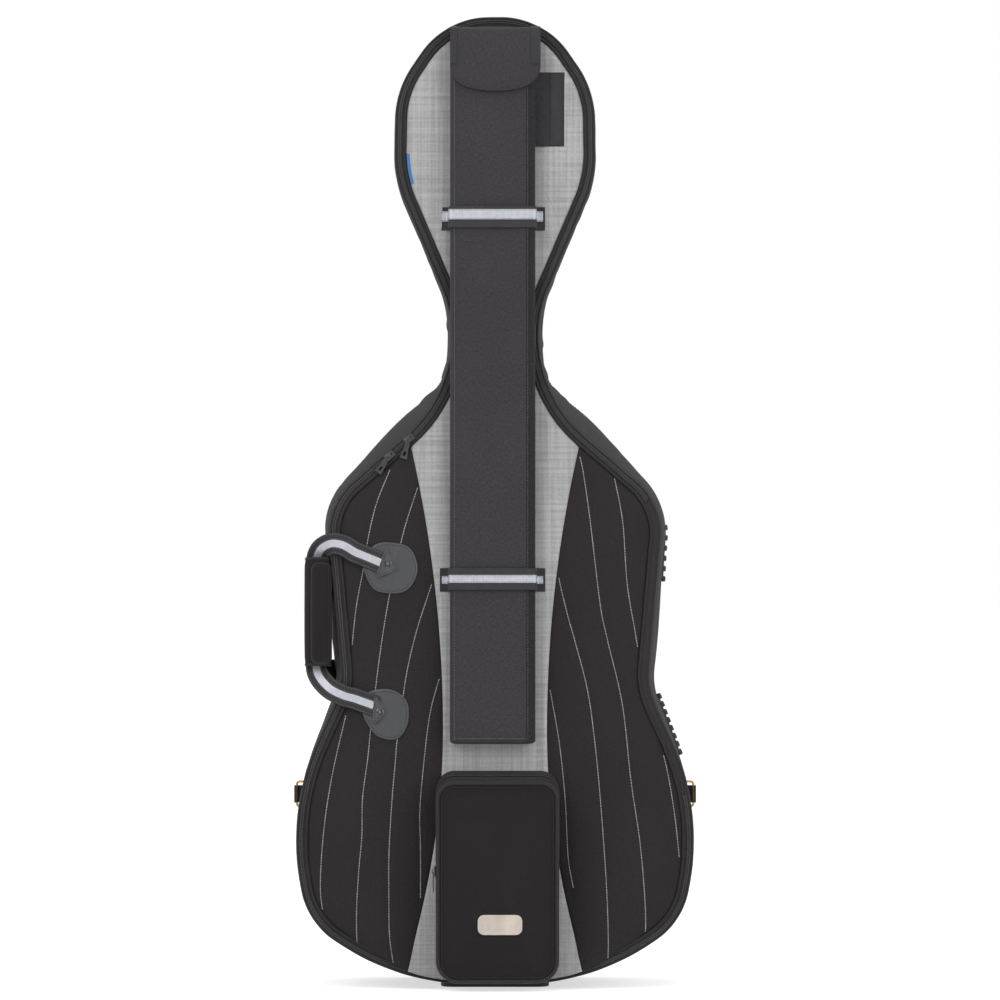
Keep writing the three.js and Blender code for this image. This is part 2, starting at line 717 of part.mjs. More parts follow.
// Zip slider: a cap over the coils with a bridge for the pull tab, running along Y with its seat at zero.
function sliderBody(turn) {
  const roof = gap;
  const top = roof + slider.plate;
  const channel = zip.coilHalf + 2 * gap;
  const stations = [
    [-slider.length / 2, slider.noseShare], [-slider.length * slider.shoulderShare, 1],
    [slider.length / 2, 1],
  ];
  const body = loft(stations.map(([y, share]) => {
    const wide = channel + (slider.half - channel) * share;
    return [
      vec(-wide, y, -slider.lip), vec(-wide, y, top), vec(wide, y, top), vec(wide, y, -slider.lip),
      vec(channel, y, -slider.lip), vec(channel, y, roof),
      vec(-channel, y, roof), vec(-channel, y, -slider.lip),
    ];
  }));
  const lean = bridge.length * bridge.slopeShare;
  const level = top + bridge.rise - bridge.bar / 2;
  const arch = strap([
    vec(0, -bridge.length / 2, top - slider.plate / 2), vec(0, lean - bridge.length / 2, level),
    vec(0, bridge.length / 2 - lean, level), vec(0, bridge.length / 2, top - slider.plate / 2),
  ], vec(1, 0, 0), 2 * bridge.half, bridge.bar);
  return join(body, arch.rotateZ(turn));
}

const pullHeight = gap + slider.plate + (bridge.rise - bridge.bar) / 2;

// Pull tab, hanging along -Y from its bar, with its bar's axis at zero.
function pullTab() {
  const outer = pull.eyeHalf + pull.rail;
  const half = pull.bar / 2;
  const waistUp = -half - pull.eyeLength - pull.rail;
  const shape = new THREE.Shape([
    new THREE.Vector2(-outer, half), new THREE.Vector2(-outer, waistUp),
    new THREE.Vector2(-pull.footHalf, -pull.length), new THREE.Vector2(pull.footHalf, -pull.length),
    new THREE.Vector2(outer, waistUp), new THREE.Vector2(outer, half),
  ]);
  const hole = (wide, from, to) => new THREE.Path([
    new THREE.Vector2(-wide, from), new THREE.Vector2(wide, from),
    new THREE.Vector2(wide, to), new THREE.Vector2(-wide, to),
  ]);
  shape.holes.push(hole(pull.eyeHalf, -half, -half - pull.eyeLength));
  const slotFrom = -pull.length + pull.heel + pull.slotLength;
  shape.holes.push(hole(pull.slotHalf, slotFrom, -pull.length + pull.heel));
  return new THREE.ExtrudeGeometry(shape, { depth: pull.bar, bevelEnabled: false }).translate(0, 0, -half);
}

function placeSlider(group, name, position, axes, turn) {
  const holder = new THREE.Group();
  holder.matrixAutoUpdate = false;
  holder.matrix.makeBasis(...axes).setPosition(position);
  group.add(holder);
  named(holder, `${name}_slider`, sliderBody(turn), cloths.steel);
  const tab = named(holder, `${name}_pull`, pullTab(), cloths.steel);
  tab.position.z = pullHeight;
  tab.rotation.z = turn;
}

function buildSliders() {
  const spots = [["upper_zip", neckTo, upperPullTurn], ["lower_zip", neckTo + sliderSpacing, lowerPullTurn]];
  spots.forEach(([name, mark, turn]) => {
    const place = zipLine.at(mark);
    const axes = [
      vec(-place.out.x, -place.out.y, 0), vec(-place.along.x, -place.along.y, 0), vec(0, 0, 1),
    ];
    placeSlider(front, name, vec(place.x, place.y, coilTop), axes, turn);
  });
}

function buildQuiver() {
  const low = quiverSeat;
  const high = quiverSeat + quiver.thickness;
  const section = roundedBox(quiver.left, quiver.right, low, high, quiver.round).loop();
  const bore = roundedBox(
    quiver.left + quiver.wall, quiver.right - quiver.wall,
    low + quiver.wall, high - quiver.wall, quiver.round - quiver.wall,
  ).loop();
  const ringAt = (loop, up) => loop.map((place) => vec(place.x, up, place.y));
  const sleeve = (loop, from, to) => loft([ringAt(loop, from), ringAt(loop, to)]);
  const lengths = [
    ["quiver_lower", quiver.low, quiver.lowJoin], ["quiver_middle", quiver.lowJoin + gap, quiver.highJoin],
    ["quiver_upper", quiver.highJoin + gap, quiver.high],
  ];
  lengths.forEach(([name, from, to]) => {
    const floor = from === quiver.low ? from + quiver.wall : from - overrun;
    named(front, name, cut(sleeve(section, from, to), sleeve(bore, floor, to + overrun)), cloths.black);
  });
  const top = quiver.high + quiver.topGap;
  const face = high + gap;
  const lid = boxBetween(
    vec(flap.left, top, low + flap.axisRise), vec(flap.right, top + flap.cloth, face + flap.cloth),
  );
  const straight = top - flap.drop + flap.arc;
  const middle = (flap.left + flap.right) / 2;
  const shape = new THREE.Shape();
  shape.moveTo(flap.right, top + flap.cloth);
  shape.lineTo(flap.left, top + flap.cloth);
  shape.lineTo(flap.left, straight);
  shape.quadraticCurveTo(flap.left, straight - flap.arc, middle, straight - flap.arc);
  shape.quadraticCurveTo(flap.right, straight - flap.arc, flap.right, straight);
  shape.closePath();
  const curtain = new THREE.ExtrudeGeometry(shape, {
    depth: flap.cloth, bevelEnabled: false, curveSegments: 6,
  });
  curtain.translate(0, 0, face);
  named(front, "quiver_flap", join(lid, curtain), cloths.black);
}

// Webbing loop over the quiver, sewn to the front at both feet.
function keeperLoop(up) {
  const seat = cloth + gap + keeper.cloth / 2;
  const out = keeper.clearance + keeper.cloth / 2;
  const [left, right] = [quiver.left - out, quiver.right + out];
  const over = quiverSeat + quiver.thickness + out;
  const slope = keeper.cloth;
  return strap([
    vec(left - keeper.foot, up, seat), vec(left - slope, up, seat), vec(left, up, seat + slope),
    vec(left, up, over - slope), vec(left + slope, up, over), vec(right - slope, up, over),
    vec(right, up, over - slope), vec(right, up, seat + slope), vec(right + slope, up, seat),
    vec(right + keeper.foot, up, seat),
  ], vec(0, 1, 0), keeper.width, keeper.cloth);
}

function buildKeepers() {
  named(front, "upper_keeper", keeperLoop(upperKeeperUp), cloths.webbing);
  named(front, "lower_keeper", keeperLoop(lowerKeeperUp), cloths.webbing);
  const seat = cloth + gap;
  named(front, "quiver_side_band", boxBetween(
    vec(sideBand.left, sideBand.low, seat), vec(sideBand.right, sideBand.high, seat + sideBand.cloth),
  ), cloths.webbing);
  const run = zipLine.stations(leftAt(sideTag.high), leftAt(sideTag.low));
  const outer = -panelInset - gap;
  const ribbon = boxSection(outer - sideTag.width, outer, seat, seat + sideTag.cloth);
  named(front, "side_tag", trim(run, ribbon), cloths.tag);
}

// Outline of the pocket at a depth, inset by a wall; its ends slope between the front and its own face.
function pocketLoop(depth, inset) {
  const share = depth / pocket.depth;
  const low = THREE.MathUtils.lerp(pocket.lowBack, pocket.lowFront, share) + inset;
  const high = THREE.MathUtils.lerp(pocket.highBack, pocket.highFront, share) - inset;
  const [left, right] = [pocket.left + inset, pocket.right - inset];
  const [roundLow, roundHigh] = [pocket.roundLow - inset, pocket.roundHigh - inset];
  const outline = new Outline([
    { x: right, y: low, round: roundLow }, { x: right, y: high, round: roundHigh },
    { x: left, y: high, round: roundHigh }, { x: left, y: low, round: roundLow },
  ]);
  return outline.pieces.flatMap((piece, i) => {
    const start = outline.startOf(i);
    const parts = piece.radius ? 5 : 1;
    return Array.from({ length: parts }, (_, k) => outline.at(start + (piece.length * k) / parts));
  });
}

function pocketSolid(levels) {
  return loft(levels.map(([depth, inset]) =>
    pocketLoop(depth, inset).map((place) => vec(place.x, place.y, cloth + depth)),
  ));
}

function buildPocket() {
  const face = pocket.depth;
  const splitBack = pocket.split - pocketZip.seam;
  const splitFront = pocket.split + pocketZip.seam;
  const backRim = pocketLoop(0, 0);
  const backRimIn = pocketLoop(0, pocket.wall);
  const splitRim = pocketLoop(splitBack, 0);
  const splitRimIn = pocketLoop(splitBack, pocket.wall);
  const seated = (place) => vec(place.x, place.y, Math.max(frontSkin(place.x, place.y), coilTop) + gap);
  const level = (place) => vec(place.x, place.y, cloth + splitBack);
  const ringWall = loft(backRim.map((place, i) => [
    seated(place), level(splitRim[i]), level(splitRimIn[i]), seated(backRimIn[i]),
  ]), true);
  named(front, "pocket_wall", ringWall, cloths.black);
  const tray = cut(
    pocketSolid([[splitFront, 0], [face - pocket.edge, 0], [face, pocket.edge]]),
    pocketSolid([[splitFront - overrun, pocket.wall], [face - pocket.wall, pocket.wall]]),
  );
  const reach = overrun * overrun;
  const region = (low, high) => boxBetween(
    vec(pocket.left - reach, low, 0), vec(pocket.right + reach, high, face + reach),
  );
  const foldGap = gap / 2;
  const lowerFront = keep(tray, region(pocket.lowFront - reach, pocket.fold - foldGap));
  const upperFront = keep(tray, region(pocket.fold + foldGap, pocket.highBack + reach));
  named(front, "pocket_lower_front", lowerFront, cloths.black);
  named(front, "pocket_upper_front", upperFront, cloths.black);
  const zipBand = (from, to, low) => {
    const band = cut(
      pocketSolid([[from, -gap - pocketZip.rise], [to, -gap - pocketZip.rise]]),
      pocketSolid([[from - overrun, -gap], [to + overrun, -gap]]),
    );
    return keep(band, region(low, pocket.highBack + reach));
  };
  const [zipBack, zipFront] = [pocket.split - pocketZip.half, pocket.split + pocketZip.half];
  named(front, "pocket_zip_back", zipBand(zipBack, splitBack, pocket.zipLow), cloths.zip);
  named(front, "pocket_zip_front", zipBand(splitFront, zipFront, pocket.fold + foldGap), cloths.zip);
  const plateSeat = cloth + face + gap;
  const badge = roundedBox(plate.left, plate.right, plate.low, plate.high, plate.round).loop();
  named(front, "name_plate", plateOf(badge, plateSeat, plateSeat + plate.thickness), cloths.plate);
  const axes = [vec(0, 0, 1), vec(0, 1, 0), vec(-1, 0, 0)];
  const seat = vec(pocket.left - gap - pocketZip.rise, pocketSliderUp, cloth + pocket.split);
  placeSlider(front, "pocket_zip", seat, axes, 0);
}

function patchOutline(corners) {
  return new Outline(corners.map(({ across, up, round }) => ({ x: across, y: up, round })));
}

// Rivet head, sunk into the webbing's end that it holds down.
function rivetOn(place) {
  const seat = frontSkin(place.across, place.up) + gap + leather + strapEnd.rest + webbing.cloth / 2;
  const half = rivet.radius;
  const profile = [
    new THREE.Vector2(0, 0), new THREE.Vector2(half, 0),
    new THREE.Vector2(half * Math.SQRT1_2, rivet.rise * Math.SQRT1_2), new THREE.Vector2(0, rivet.rise),
  ];
  const head = new THREE.LatheGeometry(profile, rivet.sides).rotateX(Math.PI / 2);
  return head.translate(place.across, place.up, seat);
}

// Sewn end of the webbing on its patch, from the patch to the line that the handle swings about.
function strapEndOn(middleUp, slope) {
  const steps = 4;
  const from = handleAxisAcross + gap;
  const points = Array.from({ length: steps + 1 }, (_, i) => {
    const across = THREE.MathUtils.lerp(strapEnd.inner, from, i / steps);
    const up = middleUp - slope * (across - strapEnd.inner);
    const seat = frontSkin(across, up) + gap + leather + strapEnd.rest;
    return vec(across, up, seat + webbing.cloth / 2);
  });
  return points;
}

// Webbing that lies facing the front along a path; an end at the handle's axis is cut along it.
function flatStrap(points, cutStart, cutEnd) {
  const last = points.length - 1;
  const sections = points.map((point, i) => {
    const before = points[Math.max(0, i - 1)];
    const after = points[Math.min(last, i + 1)];
    const along = after.clone().sub(before).setZ(0).normalize();
    const side = vec(-along.y, along.x, 0).multiplyScalar(webbing.width / 2);
    if ((cutStart && i === 0) || (cutEnd && i === last)) side.set(0, webbing.width / 2 / along.x, 0);
    const rise = vec(0, 0, webbing.cloth / 2);
    return [
      point.clone().sub(side).sub(rise), point.clone().add(side).sub(rise),
      point.clone().add(side).add(rise), point.clone().sub(side).add(rise),
    ];
  });
  return loft(sections);
}

function buildHandle() {
  named(front, "upper_patch", drape(patchOutline(upperPatch), leather), cloths.leather);
  named(front, "lower_patch", drape(patchOutline(lowerPatch), leather), cloths.leather);
  const upperEnd = strapEndOn(strapEnd.upperUp, strapEnd.slope);
  const lowerEnd = strapEndOn(strapEnd.lowerUp, strapEnd.lowerSlope);
  const riveted = (end, place) => join(flatStrap(end, false, true), rivetOn(place));
  named(front, "upper_strap_end", riveted(upperEnd, upperRivet), cloths.webbing);
  named(front, "lower_strap_end", riveted(lowerEnd, lowerRivet), cloths.webbing);
  const arm = (end, bends, entry) => {
    const start = end.at(-1).clone();
    start.x -= 3 * gap;
    const middles = bends.map((bend) => vec(bend.across, bend.up, bend.height));
    return flatStrap([start, ...middles, entry], true, false);
  };
  const middle = (grip.left + grip.right) / 2;
  const core = (grip.front + grip.back) / 2;
  const topEntry = vec(middle, grip.high + gap + webbing.width / 2, core);
  const lowEntry = vec(middle, grip.low - gap - webbing.width / 2, core);
  named(front, "upper_handle_strap", arm(upperEnd, handleRise, topEntry), cloths.webbing);
  named(front, "lower_handle_strap", arm(lowerEnd, handleFall, lowEntry), cloths.webbing);
  const levels = [
    [grip.low, grip.endShare], [grip.low + grip.end, 1],
    [grip.high - grip.end, 1], [grip.high, grip.endShare],
  ];
  const halfWide = (grip.right - grip.left) / 2;
  const halfDeep = (grip.front - grip.back) / 2;
  const roll = loft(levels.map(([up, share]) =>
    roundedBox(-halfWide * share, halfWide * share, -halfDeep * share, halfDeep * share, grip.round * share)
      .loop().map((place) => vec(middle + place.x, up, core + place.y)),
  ));
  named(front, "padded_grip", roll, cloths.black);
}

// Place on the side wall's faceted outer face: height, distance from the back's face, and side.
function wallFace(up, fromBack, side, reach) {
  const mark = (side > 0 ? rightAt(up) : leftAt(up)) + (up < toe.up ? zipLine.length : 0);
  const next = wholeLine.findIndex((station) => station > mark);
  const [from, to] = [wholeLine[next - 1], wholeLine[next]];
  const at = (station) => {
    const ahead = wallPoint(station, reach, 0, 0, 0);
    const behind = wallPoint(station, reach, 1, 0, 0);
    return wallPoint(station, reach, 1 - fromBack / (behind.y - ahead.y), 0, 0);
  };
  return at(from).lerp(at(to), (mark - from) / (to - from));
}

// Handle webbing sewn to the case's own side, which meets the grip from behind.
function buildRearHandle() {
  const side = new THREE.Group();
  side.matrixAutoUpdate = false;
  side.matrix.makeBasis(vec(0, 1, 0), vec(0, 0, 1), vec(1, 0, 0));
  upright.add(side);
  const reach = gussetReach + rearStrap.rest + webbing.cloth / 2;
  const onWall = (up, depth) => {
    const place = wallFace((up - floorToZip) / backDrop, depthBelow - depth, -1, reach);
    return vec(place.y, up, place.x);
  };
  const clear = (up, depth) => vec(depth - backFace, up, -rearStrap.out);
  const arm = (up) => [onWall(up, rearStrap.back), onWall(up, rearStrap.seat), clear(up, rearStrap.lift)];
  const { low, high, corner } = rearStrap;
  const lead = rearStrap.front + webbing.width / 2;
  const share = 1 - Math.SQRT1_2;
  const bend = (up, turn) => [
    clear(up, lead + corner), clear(up + turn * corner * share, lead + corner * share),
    clear(up + turn * corner, lead),
  ];
  const points = [...arm(low), ...bend(low, 1), ...bend(high, -1).reverse(), ...arm(high).reverse()];
  named(side, "rear_handle_strap", flatStrap(points, false, false), cloths.webbing);
}

function standing(outline, from, to) {
  return plateOf(outline.loop(), from, to);
}

function buildBase() {
  const half = basePad.depth / 2;
  const outline = roundedBox(-basePad.half, basePad.half, -half, half, basePad.round);
  named(upright, "base_pad", standing(outline, 0, basePad.thickness), cloths.rubber);
}

// Ribbed rubber strip that follows the side wall.
function bumperOn({ low, high }) {
  const pitch = (high - low) / bumper.ribs;
  const sections = [];
  for (let i = 0; i < bumper.ribs; i += 1) {
    const start = low + pitch * i;
    const crest = pitch * bumper.ribShare;
    sections.push([start, 0], [start + (pitch - crest) / 2, bumper.rib]);
    sections.push([start + (pitch + crest) / 2, bumper.rib], [start + pitch - gap, 0]);
  }
  return loft(sections.map(([up, rise]) => {
    const corner = (fromBack, reach) => wallFace(up, fromBack, 1, gussetReach + bumper.seat + reach);
    const near = bumper.fromBack;
    const far = bumper.fromBack + bumper.depth;
    const top = bumper.thickness + rise;
    return [corner(near, 0), corner(near, top), corner(far, top), corner(far, 0)];
  }));
}

function buildBumpers() {
  named(upright, "upper_bumper", bumperOn(upperBumper), cloths.rubber);
  named(upright, "lower_bumper", bumperOn(lowerBumper), cloths.rubber);
}

// Wire ring of an outline in the back's plane.
function wireRing(outline, place) {
  const marks = outline.pieces.flatMap((piece, i) => {
    const start = outline.startOf(i);
    return piece.radius ? [0, 1 / 2].map((share) => start + piece.length * share) : [start];
  });
  return loft(marks.map((mark) => {
    const spot = outline.at(mark);
    return roundSection(0, 0, ring.wire, ring.sides).map(([reach, rise]) =>
      vec(place.x + spot.x + reach * spot.out.x, place.y + rise, place.z + spot.y + reach * spot.out.y),
    );
  }), true);
}

// Backpack strap, and the brass ring and tab that its webbing is folded through, on one side of the back.
function buildCarryStrap(side) {
  const name = side < 0 ? "left" : "right";
  const webSeat = backFace + gap + carryWeb.cloth / 2;
  const padSeat = backFace + gap + carryStrap.thickness / 2;
  const pad = Array.from({ length: carryStrap.steps + 1 }, (_, i) => {
    const share = i / carryStrap.steps;
    const lift = carryStrap.bow * Math.sin(Math.PI * share) ** 2 + share * (carryWeb.cloth + gap);
    const across = side * (carryStrap.across + carryStrap.spread * share ** 2);
    return vec(across, padSeat + lift, THREE.MathUtils.lerp(carryStrap.top, carryStrap.bottom, share));
  });
  const padBody = strap(pad, vec(1, 0, 0), 2 * carryStrap.half, carryStrap.thickness);
  named(upright, `${name}_shoulder_pad`, padBody, cloths.black);

  const place = vec(side * ring.out, backFace + 2 * gap + ringTab.cloth + ring.wire, ring.up);
  const outline = roundedBox(-ring.half, ring.half, -ring.tall, ring.tall, ring.round);
  named(upright, `${name}_ring`, wireRing(outline, place), cloths.brass);
  const outward = vec(side, 0, 0);
  const away = vec(0, 1, 0);
  const level = vec(0, 0, 1);
  const innerBar = place.clone().addScaledVector(outward, -ring.half);
  const outerBar = place.clone().addScaledVector(outward, ring.half);
  const tabReach = ring.wire + 2 * gap + ringTab.cloth / 2;
  const tabFold = foldAround(innerBar, outward, away, tabReach);
  const inboard = (point, reach, height) => vec(point.x - side * reach, height, point.z);
  const under = place.y - tabReach;
  const tab = [
    inboard(innerBar, ringTab.length, under), ...tabFold,
    inboard(innerBar, ringTab.fold, under + ringTab.cloth + gap),
    inboard(innerBar, ringTab.length, under + ringTab.cloth + gap),
  ];
  named(upright, `${name}_ring_tab`, strap(tab, level, ringTab.width, ringTab.cloth), cloths.webbing);

  const webReach = ring.wire + gap + carryWeb.cloth / 2;
  const webFold = foldAround(outerBar, outward, away, webReach);
  const over = place.y + tabReach + ringTab.cloth / 2 + gap + carryWeb.cloth;
  const end = pad.at(-1);
  const start = vec(end.x, webSeat, end.z + carryWeb.under);
  const near = inboard(innerBar, ringTab.length + carryWeb.width, webSeat);
  const run = near.clone().sub(start).normalize();
  const slant = vec(-run.z * side, 0, run.x * side);
  const web = [
    start, vec(end.x, webSeat, end.z), near.clone().lerp(end.clone().setY(webSeat), 1 / 4),
    near, inboard(innerBar, ringTab.length, over), inboard(innerBar, 0, over), ...webFold.reverse(),
  ];
  const sides = [slant, slant, slant, slant.clone().add(level), ...web.slice(4).map(() => level)];
  const webBody = ribbon(web, sides, carryWeb.width, carryWeb.cloth);
  named(upright, `${name}_shoulder_webbing`, webBody, cloths.webbing);
}

// Padded cradle that steadies the neck, and its strap.
function buildInside() {
  const floor = backFace - backInside - gap;
  const low = floorToZip + cradle.low * backDrop;
  const high = floorToZip + cradle.high * backDrop;
  const block = boxBetween(vec(-cradle.half, floor - cradle.rise, low), vec(cradle.half, floor, high));
  const notch = boxBetween(
    vec(-cradle.notchHalf, floor - cradle.rise - overrun, low - overrun),
    vec(cradle.notchHalf, floor - cradle.rise + cradle.notchDepth, high + overrun),
  );
  named(upright, "neck_cradle", cut(block, notch), cloths.foam);
  const face = floor - cradle.rise - gap;
  const middle = (low + high) / 2;
  const strapBox = boxBetween(
    vec(-cradle.half, face - neckStrap.cloth, middle - neckStrap.width / 2),
    vec(-cradle.half + neckStrap.reach, face, middle + neckStrap.width / 2),
  );
  named(upright, "neck_strap", strapBox, cloths.webbing);
}

buildBase();
buildBumpers();
buildCarryStrap(-1);
buildCarryStrap(1);
buildInside();
buildWall();
buildBack();
buildEdge();
buildFront();
buildSliders();
buildQuiver();
buildKeepers();
buildPocket();
buildHandle();
buildRearHandle();

export default caseBag;
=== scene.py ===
import logging
import math
from dataclasses import dataclass, field
from enum import Enum
from functools import partial
from typing import Callable, Sequence

import bmesh
import bpy
import numpy as np
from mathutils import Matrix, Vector

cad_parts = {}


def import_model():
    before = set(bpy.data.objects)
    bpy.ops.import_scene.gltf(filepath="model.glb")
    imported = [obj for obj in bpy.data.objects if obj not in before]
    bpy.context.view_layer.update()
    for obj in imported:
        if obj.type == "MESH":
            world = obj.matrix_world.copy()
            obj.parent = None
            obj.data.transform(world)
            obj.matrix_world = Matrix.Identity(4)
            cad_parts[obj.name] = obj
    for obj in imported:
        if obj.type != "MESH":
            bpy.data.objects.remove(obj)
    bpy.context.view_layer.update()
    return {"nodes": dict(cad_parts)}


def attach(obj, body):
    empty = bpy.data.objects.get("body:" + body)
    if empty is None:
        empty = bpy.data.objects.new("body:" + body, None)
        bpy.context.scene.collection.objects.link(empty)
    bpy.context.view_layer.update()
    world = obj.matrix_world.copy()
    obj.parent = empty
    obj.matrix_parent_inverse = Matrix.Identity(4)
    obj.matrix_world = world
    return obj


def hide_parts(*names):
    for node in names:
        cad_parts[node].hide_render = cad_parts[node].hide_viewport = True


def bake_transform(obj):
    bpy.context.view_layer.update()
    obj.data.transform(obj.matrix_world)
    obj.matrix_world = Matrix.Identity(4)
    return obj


# Padded soft case for a full-size cello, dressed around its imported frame. Lengths are in metres.
# A place on the front is given as across, up and height above the front's fabric plane.
# SEAM is the room left between pieces that lie on each other.

log = logging.getLogger("cello_case")
MM = 0.001
SEAM = 0.0003
ACROSS, BACKWARDS, UPRIGHT = np.eye(3)
Array, Socket = np.ndarray, bpy.types.NodeSocket
Point = Sequence[float]


class Side(Enum):
    """The two sides of the front, with the sign of across on each."""

    LEFT = -1
    RIGHT = 1


def mm(*values: float) -> tuple[float, ...]:
    """Lengths given in millimetres, in metres."""
    return tuple(value * MM for value in values)


def pairs(*points: tuple[float, float]) -> Array:
    """Points given in millimetres, as rows of an array in metres."""
    return np.array(points, float) * MM


def blend(low: float, high: float, values: Array) -> Array:
    """Smooth step of values from 0 at low to 1 at high."""
    share = np.clip((np.asarray(values, float) - low) / (high - low), 0, 1)
    return share * share * (3 - 2 * share)


def hump(values: Array, middle: float, width: float) -> Array:
    """Bell curve of values: 1 at the middle, and about a third at its width."""
    return np.exp(-(((values - middle) / width) ** 2))


def normalised(vectors: Array) -> Array:
    """Vectors along the last axis, brought to length 1."""
    return vectors / np.maximum(np.linalg.norm(vectors, axis=-1, keepdims=True), 1e-12)


def run_lengths(points: Array) -> Array:
    """Length along a run of points, at each of them."""
    return np.concatenate([[0], np.cumsum(np.linalg.norm(np.diff(points, axis=0), axis=1))])


def placed_along(points: Array, shares: Array) -> Array:
    """Points at shares of the length of a flat run."""
    lengths = np.concatenate([[0], np.cumsum(np.hypot(*np.diff(points, axis=0).T))])
    return np.column_stack([np.interp(shares, lengths / lengths[-1], column) for column in points.T])


def evenly(points: Array, step: float, least: int) -> Array:
    """Evenly spaced points along a run.

    Args:
        points: the run, one point a row.
        step: the distance between the points returned, more or less.
        least: how many there are at least.

    Returns:
        The points, one a row.
    """
    lengths = run_lengths(points)
    wanted = np.linspace(0, lengths[-1], max(least, int(round(lengths[-1] / step)) + 1))
    return np.column_stack([np.interp(wanted, lengths, column) for column in points.T])


def closed(points: Array) -> Array:
    """A run of points that ends where it began."""
    return np.vstack([points, points[:1]])


def pushed(places: Array, reach: float | Array) -> tuple[Array, Array]:
    """Across and up of places on an outline, moved outwards by a reach."""
    return places[..., 0] + reach * places[..., 2], places[..., 1] + reach * places[..., 3]


def smooth_line(points: Array, step: float) -> Array:
    """Evenly spaced points on a smooth curve through the given ones.

    Args:
        points: the points that the curve passes through, one a row.
        step: the distance between the points returned.

    Returns:
        The points of the curve, one a row.
    """
    padded = np.vstack([2 * points[0] - points[1], points, 2 * points[-1] - points[-2]])
    fine = []
    shares = np.linspace(0, 1, 24, endpoint=False)[:, None]
    for a, b, c, d in zip(padded, padded[1:], padded[2:], padded[3:]):
        first, second, third = c - a, 2 * a - 5 * b + 4 * c - d, 3 * b - a - 3 * c + d
        fine.append(0.5 * (2 * b + first * shares + second * shares**2 + third * shares**3))
    return evenly(np.vstack([*fine, points[-1:]]), step, 2)


class Outline:
    """Closed line of straight runs and arcs through rounded corners, run anticlockwise."""

    room_share = 0.98

    def __init__(self, corners: Sequence[tuple[float, float, float]]) -> None:
        """Args: corners, each its x, its y and its rounding."""
        points = [Vector(corner[:2]) for corner in corners]
        count = len(points)
        sides = []
        for i, point in enumerate(points):
            before, after = points[i - 1] - point, points[(i + 1) % count] - point
            turn = math.pi - before.angle(after)
            bend = -1.0 if before.x * after.y - before.y * after.x > 0 else 1.0
            sides.append([before, after, turn, bend, corners[i][2] * math.tan(turn / 2)])
        fits = []
        for i, (before, after, _, _, tangent) in enumerate(sides):
            rooms = ((before.length, sides[i - 1][4]), (after.length, sides[(i + 1) % count][4]))
            fits.append(min([1.0] + [self.room_share * room / (tangent + other) for room, other in rooms]))
        self.pieces = []
        for i, (before, after, turn, bend, tangent) in enumerate(sides):
            reach, radius = tangent * fits[i], corners[i][2] * fits[i]
            along = -before.normalized()
            self.pieces.append((points[i] - along * reach, along, bend, radius, radius * turn))
            out = after.normalized()
            left = after.length - reach - sides[(i + 1) % count][4] * fits[(i + 1) % count]
            self.pieces.append((points[i] + out * reach, out, 0.0, 0.0, left))
        self.starts = np.concatenate([[0], np.cumsum([piece[4] for piece in self.pieces])])
        self.length = float(self.starts[-1])

    def at(self, marks: Array) -> Array:
        """Places along the line.

        Args:
            marks: distances along the line.

        Returns:
            One row a mark: x, y, and the outward normal's x and y.
        """
        marks = np.mod(np.asarray(marks, float), self.length)
        index = np.clip(np.searchsorted(self.starts, marks, side="right") - 1, 0, len(self.pieces) - 1)
        out = np.zeros((len(marks), 4))
        for k, (start, along, bend, radius, _) in enumerate(self.pieces):
            mask = index == k
            rest = marks[mask] - self.starts[k]
            if radius:
                angle = bend * rest / radius
                heading = math.atan2(along.y, along.x) + angle
                centre = start + Vector((-along.y, along.x)) * bend * radius
                normal = np.column_stack([np.sin(heading), -np.cos(heading)])
                spots = np.array(centre) + normal * bend * radius
            else:
                normal = np.tile((along.y, -along.x), (len(rest), 1))
                spots = np.array(start) + rest[:, None] * np.array(along)
            out[mask, :2], out[mask, 2:] = spots, normal
        return out

    def ring(self, count: int) -> Array:
        """Evenly spaced places round the whole line, as rows like those of at()."""
        return self.at(np.linspace(0, self.length, count, endpoint=False))

    def even(self, step: float, start: float = 0.0, end: float | None = None) -> Array:
        """Evenly spaced marks, about a step apart.

        Args:
            step: the distance between marks.
            start: the first mark.
            end: the last one; without it the marks go round the whole line.

        Returns:
            The marks.
        """
        if end is None:
            return np.linspace(0, self.length, max(8, round(self.length / step)), endpoint=False)
        return np.linspace(start, end, max(2, round((end - start) / step) + 1))


def rounded_box(left: float, right: float, low: float, high: float, radius: float) -> Outline:
    """Outline of a rectangle with rounded corners."""
    return Outline([(right, low, radius), (right, high, radius), (left, high, radius), (left, low, radius)])


